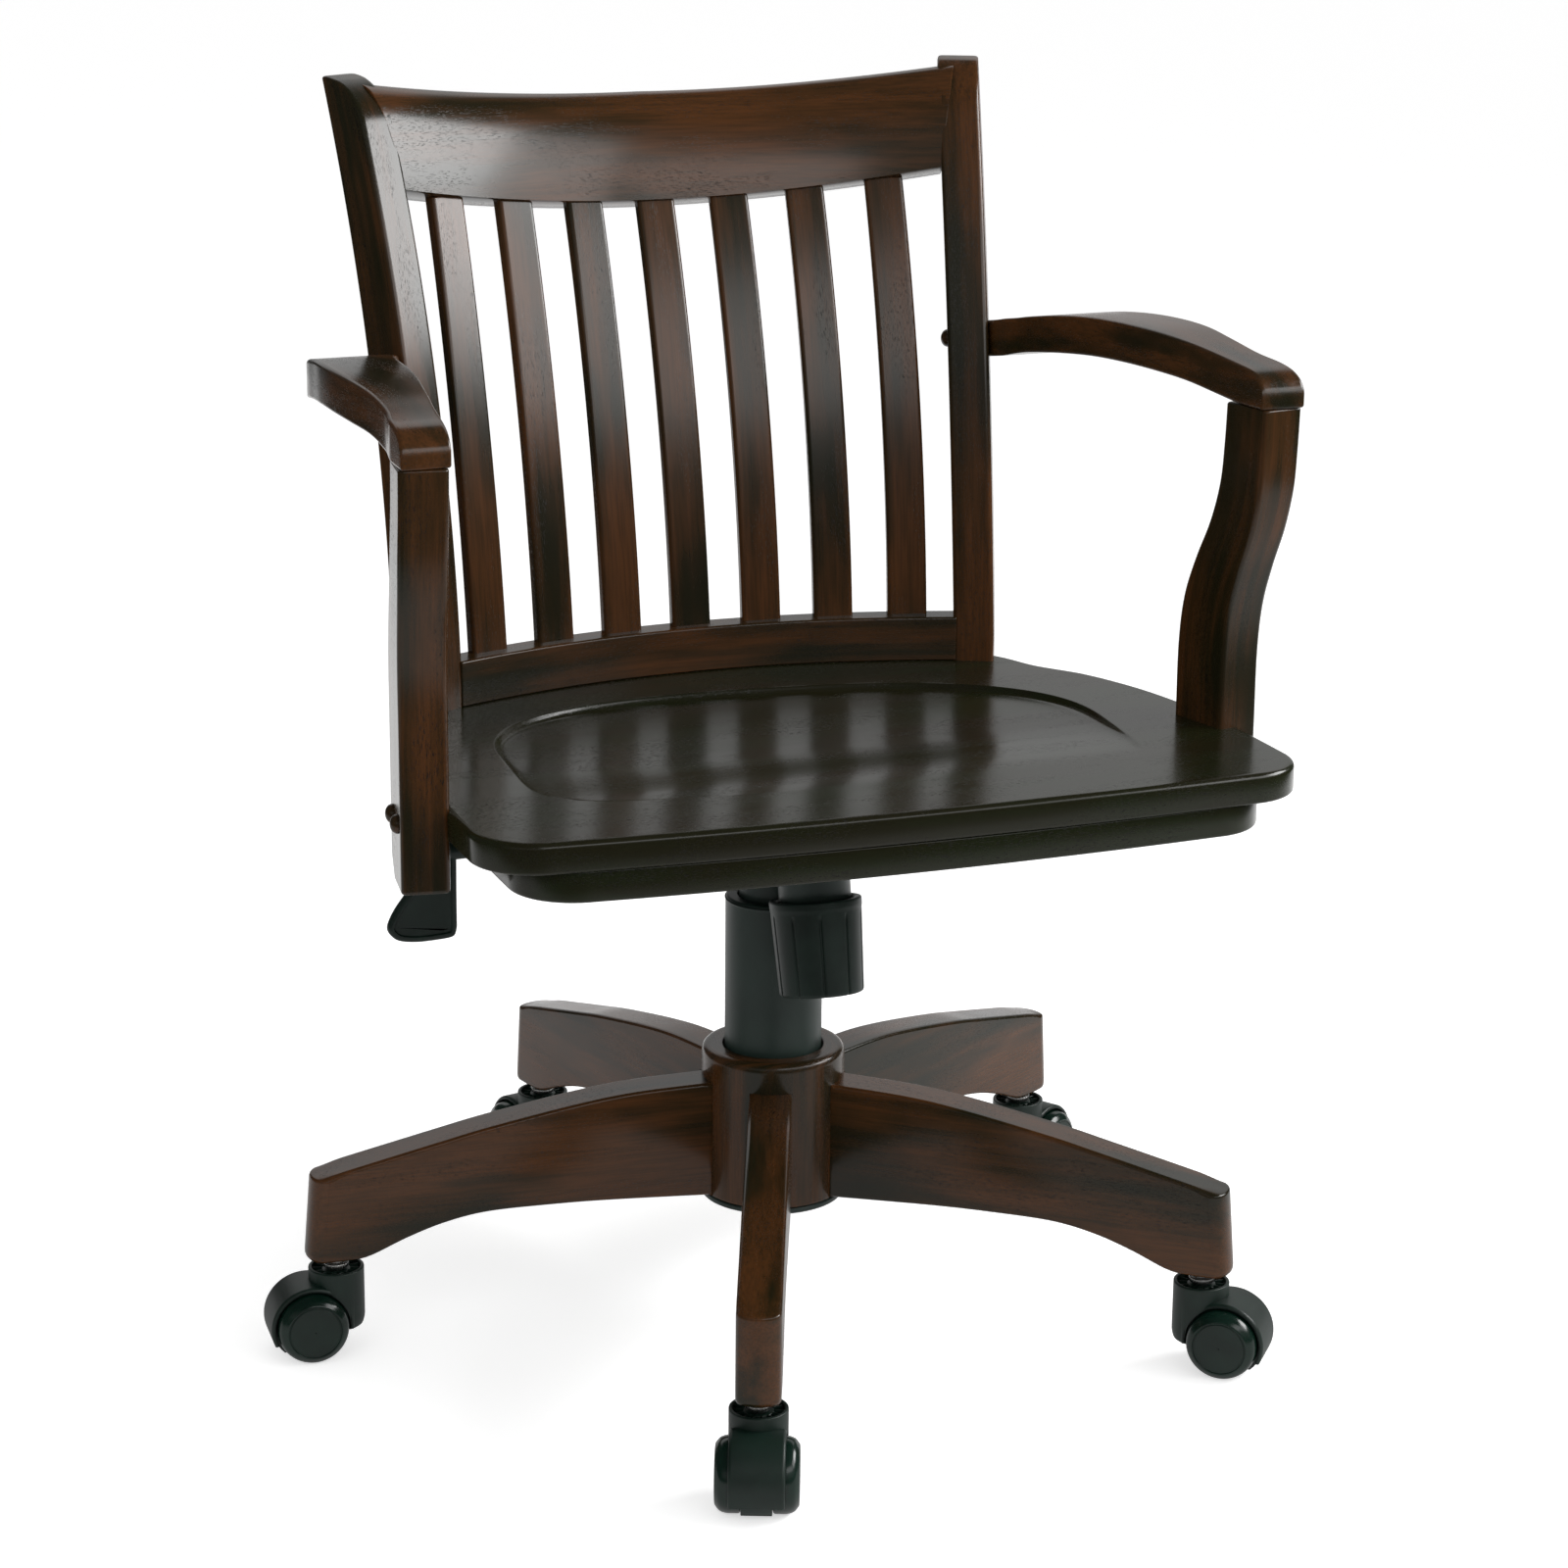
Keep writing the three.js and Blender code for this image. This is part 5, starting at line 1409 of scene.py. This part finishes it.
class CHAIR_OT_mechanism(bpy.types.Operator):
    """Builds the plate under the seat with its screws, the tilt housing and its pin"""

    bl_idname = "chair.mechanism"
    bl_label = "Mechanism"

    def execute(self, context):
        polished("plate", "mounting_plate", 0.6, "black_steel", "seat")
        polished("housing", "tilt_housing", 1.2, "black_steel", "swivel")
        polished("pin", "tilt_pin", 0.5, "bright_steel", "swivel")
        head = [(0.4, -3.4, 0), (2.4, -3.4, 0.3), (2.6, -2.2, 0.3), (3.2, -3.4, 0.3), (5.4, -2.6, 1.4)]
        head = soften([*head, (6, -0.4, 0.4), (6, 0.6, 0.2), (0.4, 0.6, 0)], 3)
        screw = piece("screw", lathe(head, 20), local)
        values = {"Width": 2 * PLATE_SCREWS[0] * MM, "Length": 2 * PLATE_SCREWS[1] * MM}
        screws = realised(screw, "plate_screws", on_rectangle("bright_steel"), values)
        screws.data.transform(Matrix.Translation(at(0, -13, PLATE_FOOT)))
        finish_piece(screws, "bright_steel", "seat")
        return {"FINISHED"}


class CHAIR_OT_tension(bpy.types.Operator):
    """Builds the tension bolt, its spring and the grooved knob"""

    bl_idname = "chair.tension"
    bl_label = "Tension knob"

    def execute(self, context):
        polished("tension_screw", "tension_bolt", 0.5, "bright_steel", "tension_bolt")
        floor = KNOB_FLOOR - KNOB_HEIGHT
        self.spring(floor)
        shell = [(0.6, -KNOB_HEIGHT + 1.2, 0), (12, -KNOB_HEIGHT + 1.2, 0.6), (13.5, -KNOB_HEIGHT, 0.8)]
        shell += [(KNOB_FOOT_RADIUS, -KNOB_HEIGHT, 2.6), (KNOB_RADIUS - 0.4, -8, 1)]
        shell += [(KNOB_RADIUS - 0.2, -6.4, 1), (KNOB_RADIUS, -5, 1), (KNOB_RADIUS, 0, 1.6)]
        shell += [(BOSS_RADIUS + 3, 0, 1.2), (BOSS_RADIUS + 1.6, -2, 1),
            (BOSS_RADIUS + 1.4, floor, 0.8)]
        shell = soften([*shell, (6, floor, 0.5), (5.4, floor - 6, 0.4), (0.5, floor - 6, 0)], 5)
        rows = []
        for (r0, z0), (r1, z1) in zip(shell, shell[1:]):
            parts = max(1, int(math.hypot(r1 - r0, z1 - z0) / 2.2)) if r0 > 29 and r1 > 29 else 1
            rows += [(blend(r0, r1, k / parts), blend(z0, z1, k / parts)) for k in range(parts)]
        blank = piece("knob_blank", lathe([*rows, shell[-1]], 360), local)
        values = {"Count": KNOB_GROOVES, "Depth": context.scene.chair_sizes.groove_depth,
            "Width": 2.6 * MM}
        values.update({"Low": (-KNOB_HEIGHT - 4) * MM, "High": -9 * MM})
        values["Least radius"] = (KNOB_FOOT_RADIUS - 2.5) * MM
        knob = realised(blank, "tension_hand_knob", groove_tree("black_plastic"), values)
        for v in knob.data.vertices:
            v.co = tension_move(v.co / MM - Vector((0, 0, KNOB_DROP)))
        knob.data.set_sharp_from_angle(angle=SHARP)
        finish_piece(knob, "black_plastic", "tension_knob", "tension_knob")
        return {"FINISHED"}

    def spring(self, floor):
        """A coil on the knob's floor. It ends short of the housing, which it nears in a tilt."""
        base = mesh_of("coil_base", lathe([(1, 0), (1, 1)], 6), local)
        high = -BOSS_DEPTH - floor - 2 * WIRE - SPRING_ROOM
        values = {"Turns": 7.0, "Radius": (17 - WIRE) * MM, "Height": high * MM, "Wire": WIRE * MM}
        coil = realised(base, "spring", coil_tree("bright_steel"), values)
        for v in coil.data.vertices:
            v.co = tension_move(v.co / MM + Vector((0, 0, floor + WIRE + 0.6)))
        finish_piece(tidy(coil), "bright_steel", "tension_bolt", "tension_spring")


class CHAIR_OT_lever(bpy.types.Operator):
    """Builds the lever that lets the gas lift rise and sink"""

    bl_idname = "chair.lever"
    bl_label = "Lever"

    def execute(self, context):
        end, r = -LEVER_END, LEVER_RADIUS
        rod = soften([(0.4, end, 0), (r, end, 0.8), (r, 5, 0.8), (0.4, 5, 0)])
        turned("lift_rod", rod, "black_steel", "lever", "lever_rod", 32, move=lever_move)
        hub = r + PADDLE_WALL
        high = PADDLE_DROP + r + hub
        left, foot = end + PADDLE_INSET, LEVER_Z - r - PADDLE_DROP
        line = through([*PADDLE_SHARES, PADDLE_SHARES[0]], 6)[:-1]
        outline = [(left - a * PADDLE_WIDTH, foot + b * high) for a, b in line][::-1]
        half = PADDLE_THICK / 2
        # Across the thickness: a rounded rim, a step down to the pressed face, and the same behind.
        rows = [(6.4, 1.3), (4.6, 1.2), (3.8, 0.1), (2.6, 0), (1.2, 0.3), (0.35, 1.1), (0, 2.2)]
        rows = [(a, b - half) for a, b in rows]
        rows += [(a, -z) for a, z in reversed(rows)]
        rings = [[(x, y, z) for x, z in inwards(outline, inset)] for inset, y in rows]
        paddle = piece("add_paddle", stacked(rings))
        outer, inner = end - PADDLE_INSET, end + PADDLE_INSET * 3
        boss = soften([(0.4, outer, 0), (hub, outer, 1), (hub, inner, 0.8), (0.4, inner, 0)])
        sleeve = piece("sleeve", lathe(boss, 40), lever_move)
        socket = lathe([(0.4, end - GAP), (r + GAP, end - GAP), (r + GAP, 0), (0.4, 0)], 40)
        hole = piece("hole", socket, lever_move)
        # A raised guide down the paddle's face, under the sleeve.
        guide_x = left - 0.42 * PADDLE_WIDTH + 7
        guide = lathe(soften([(0.4, 0, 0), (3.4, 0, 2), (3.8, 26, 0.5), (0.4, 26, 0)]), 24)
        guide = piece("add_guide", guide,
            lambda p: at(guide_x + p[0], -1.4 + p[1], LEVER_Z - 24 + p[2]))
        cut_away(sleeve, paddle, guide, hole)
        sleeve.name = "lift_paddle"
        tidy(sleeve)
        sleeve.data.materials.clear()
        finish_piece(sleeve, "black_plastic", "lever", "lever_paddle")
        return {"FINISHED"}


class CHAIR_OT_casters(bpy.types.Operator):
    """Builds the five casters: stem, hood and two wheels each"""

    bl_idname = "chair.casters"
    bl_label = "Casters"

    def execute(self, context):
        hood = hood_mesh()
        for i, place in enumerate(PLACES):
            node = "caster_stem_" + place
            turned("stem_" + place, stem_profile(), "bright_steel", "base", node, 40,
                move=caster_move(i, 0))
            move = caster_move(i, CASTER_TRAIL)
            mesh = hood.copy()
            for v in mesh.vertices:
                v.co = move(v.co / MM)
            mesh.materials.clear()
            obj = tidy(linked("hood_" + place, mesh))
            finish_piece(obj, "black_plastic", "caster_" + place, "caster_hood_" + place)
            for side, letter in ((1, "a"), (-1, "b")):
                self.wheel("wheel_%s_%s" % (place, letter), move, side)
        return {"FINISHED"}

    def wheel(self, name, move, side):
        def placed(p):
            return move((p[0], side * (HOOD_WEB / 2 + GAP + p[2]), -side * p[1]))

        obj = piece(name, lathe(wheel_profile(), 80), placed)
        for finish in ("glossy_plastic", "black_plastic"):
            obj.data.materials.append(MATERIALS[finish])
        # The flat of the outer face is matt and the rest of the wheel is polished.
        centre = placed((0, 0, WHEEL_WIDTH))
        for polygon in obj.data.polygons:
            near = (polygon.center - centre).length < (WHEEL_RADIUS - 6.8) * MM
            polygon.material_index = 1 if near else 0
        finish_piece(obj, "glossy_plastic", name, "caster_" + name)


class CHAIR_OT_stage(bpy.types.Operator):
    """Sets the floor, the soft lights and the camera"""

    bl_idname = "chair.stage"
    bl_label = "Stage"

    def execute(self, context):
        scene = context.scene
        scene.view_settings.view_transform = "Standard"
        self.floor()
        self.world(scene)
        for lamp in LAMPS:
            self.lamp(*lamp)
        self.camera(scene)
        return {"FINISHED"}

    def floor(self):
        mesh = bpy.data.meshes.new("floor")
        corners = [at(FLOOR_HALF * a, FLOOR_HALF * b, 0) for a, b in ((-1, -1), (1, -1), (1, 1), (-1, 1))]
        mesh.from_pydata(corners, [], [(0, 1, 2, 3)])
        obj = linked("floor", mesh)
        net = Finish("studio_floor")
        seen, mirrored = net.rays("Camera", "Glossy")
        x, y, z = net.split(net.place())
        # White paper runs back from the camera under the chair, and the floor beside it is dark.
        along, off = self.headed(net, x, y)
        share = net.ramp(along, -1.3, -0.7) * 0.3 + net.ramp(along, -0.2, 1.2) * 0.4
        sweep = share * (1 - net.ramp(off, 1.55, 1.9))
        glow = seen * 0.55 + mirrored * sweep
        pale = (0.86, 0.86, 0.86, 1)
        net.put(Base_Color=net.mix(mirrored * (1 - sweep), pale, (0.03, 0.03, 0.03, 1)))
        net.put(Emission_Color=net.join(glow, glow, glow), Emission_Strength=1.0)
        net.put(Roughness=0.9, Specular_IOR_Level=0.1)
        mesh.materials.append(net.material)

    def headed(self, net, x, y):
        """How far a place lies along the paper's heading, and how far to a side of it."""
        a, b = HEADING
        return x * a + y * b, net.math("ABSOLUTE", x * b - y * a)

    def world(self, scene):
        world = bpy.data.worlds.new("studio")
        scene.world = world
        world.use_nodes = True
        net = Net(world.node_tree)
        net.tree.nodes.clear()
        camera, mirrored, through_glass = net.rays("Camera", "Glossy", "Transmission")
        shiny = net.math("MAXIMUM", mirrored, through_glass)
        ray = net.add("ShaderNodeTexCoord", None, None, out="Generated")
        x, y, z = net.split(ray)
        # The paper hangs behind the chair, a dim wall stands before it, and the rest is dark.
        along, off = self.headed(net, x, y)
        paper = (0.5 + net.ramp(z, 0.3, 0.5) * 0.42) * (1 - net.ramp(z, 0.6, 0.74))
        behind = net.ramp(along, 0, 0.3) * paper
        facing = net.ramp(-1 * y, 0.2, 0.7) * net.ramp(z, 0.1, 0.3) * (1 - net.ramp(z, 0.4, 0.6)) * 0.25
        mirror = net.math("MAXIMUM", behind * (1 - net.ramp(off, 0.42, 0.56)), 0.05 + facing)
        plain = 0.88 - net.ramp(z, 0.1, 0.9) * 0.5
        strength = camera + (1 - camera) * (shiny * mirror + (1 - shiny) * plain)
        back = net.add("ShaderNodeBackground", None, {"Color": (1, 1, 1, 1), "Strength": strength})
        out = net.tree.nodes.new("ShaderNodeOutputWorld")
        net.feed(out.inputs[0], back)

    def lamp(self, name, place, target, width, height, energy, mirrored):
        data = bpy.data.lights.new(name, "AREA")
        data.shape = "RECTANGLE"
        data.size, data.size_y = width, height
        data.energy = energy
        obj = linked(name, data)
        obj.location = at(*place)
        obj.rotation_euler = (at(*target) - at(*place)).to_track_quat("-Z", "Y").to_euler()
        obj.visible_glossy = mirrored

    def camera(self, scene):
        data = bpy.data.cameras.new("camera")
        data.lens = CAMERA_LENS
        data.sensor_width = 36
        data.clip_end = 100
        obj = linked("camera", data)
        forward = Vector(CAMERA_LOOKS).normalized()
        right = forward.cross(Vector((0, 0, 1))).normalized()
        up = right.cross(forward)
        c, s = math.cos(CAMERA_ROLL), math.sin(CAMERA_ROLL)
        across, above = right * c + up * s, up * c - right * s
        turn = Matrix((across, above, -forward)).transposed().to_4x4()
        obj.matrix_world = Matrix.Translation(at(*CAMERA_PLACE)) @ turn
        scene.camera = obj


OPERATORS = (CHAIR_OT_finishes, CHAIR_OT_stage, CHAIR_OT_seat, CHAIR_OT_back, CHAIR_OT_slats,
    CHAIR_OT_arms, CHAIR_OT_bolts, CHAIR_OT_base, CHAIR_OT_column, CHAIR_OT_mechanism, CHAIR_OT_tension,
    CHAIR_OT_lever, CHAIR_OT_casters)


class CHAIR_PT_panel(bpy.types.Panel):
    """Lists the chair's sizes, colours and pieces"""

    bl_idname = "CHAIR_PT_panel"
    bl_label = "Bankers Swivel Chair"
    bl_space_type = "VIEW_3D"
    bl_region_type = "UI"
    bl_category = "Chair"

    def draw(self, context):
        column = self.layout.column()
        for group in (context.scene.chair_sizes, context.scene.chair_colours):
            for name in group.__annotations__:
                column.prop(group, name)
        for operator in OPERATORS:
            column.operator(operator.bl_idname)


CLASSES = (ChairSizes, ChairColours, *OPERATORS, CHAIR_PT_panel)


def register():
    for cls in CLASSES:
        bpy.utils.register_class(cls)
    bpy.types.Scene.chair_sizes = PointerProperty(type=ChairSizes)
    bpy.types.Scene.chair_colours = PointerProperty(type=ChairColours)


def unregister():
    del bpy.types.Scene.chair_colours
    del bpy.types.Scene.chair_sizes
    for cls in reversed(CLASSES):
        bpy.utils.unregister_class(cls)


def main():
    register()
    for operator in OPERATORS:
        group, name = operator.bl_idname.split(".")
        getattr(getattr(bpy.ops, group), name)()


if __name__ == "__main__":
    main()
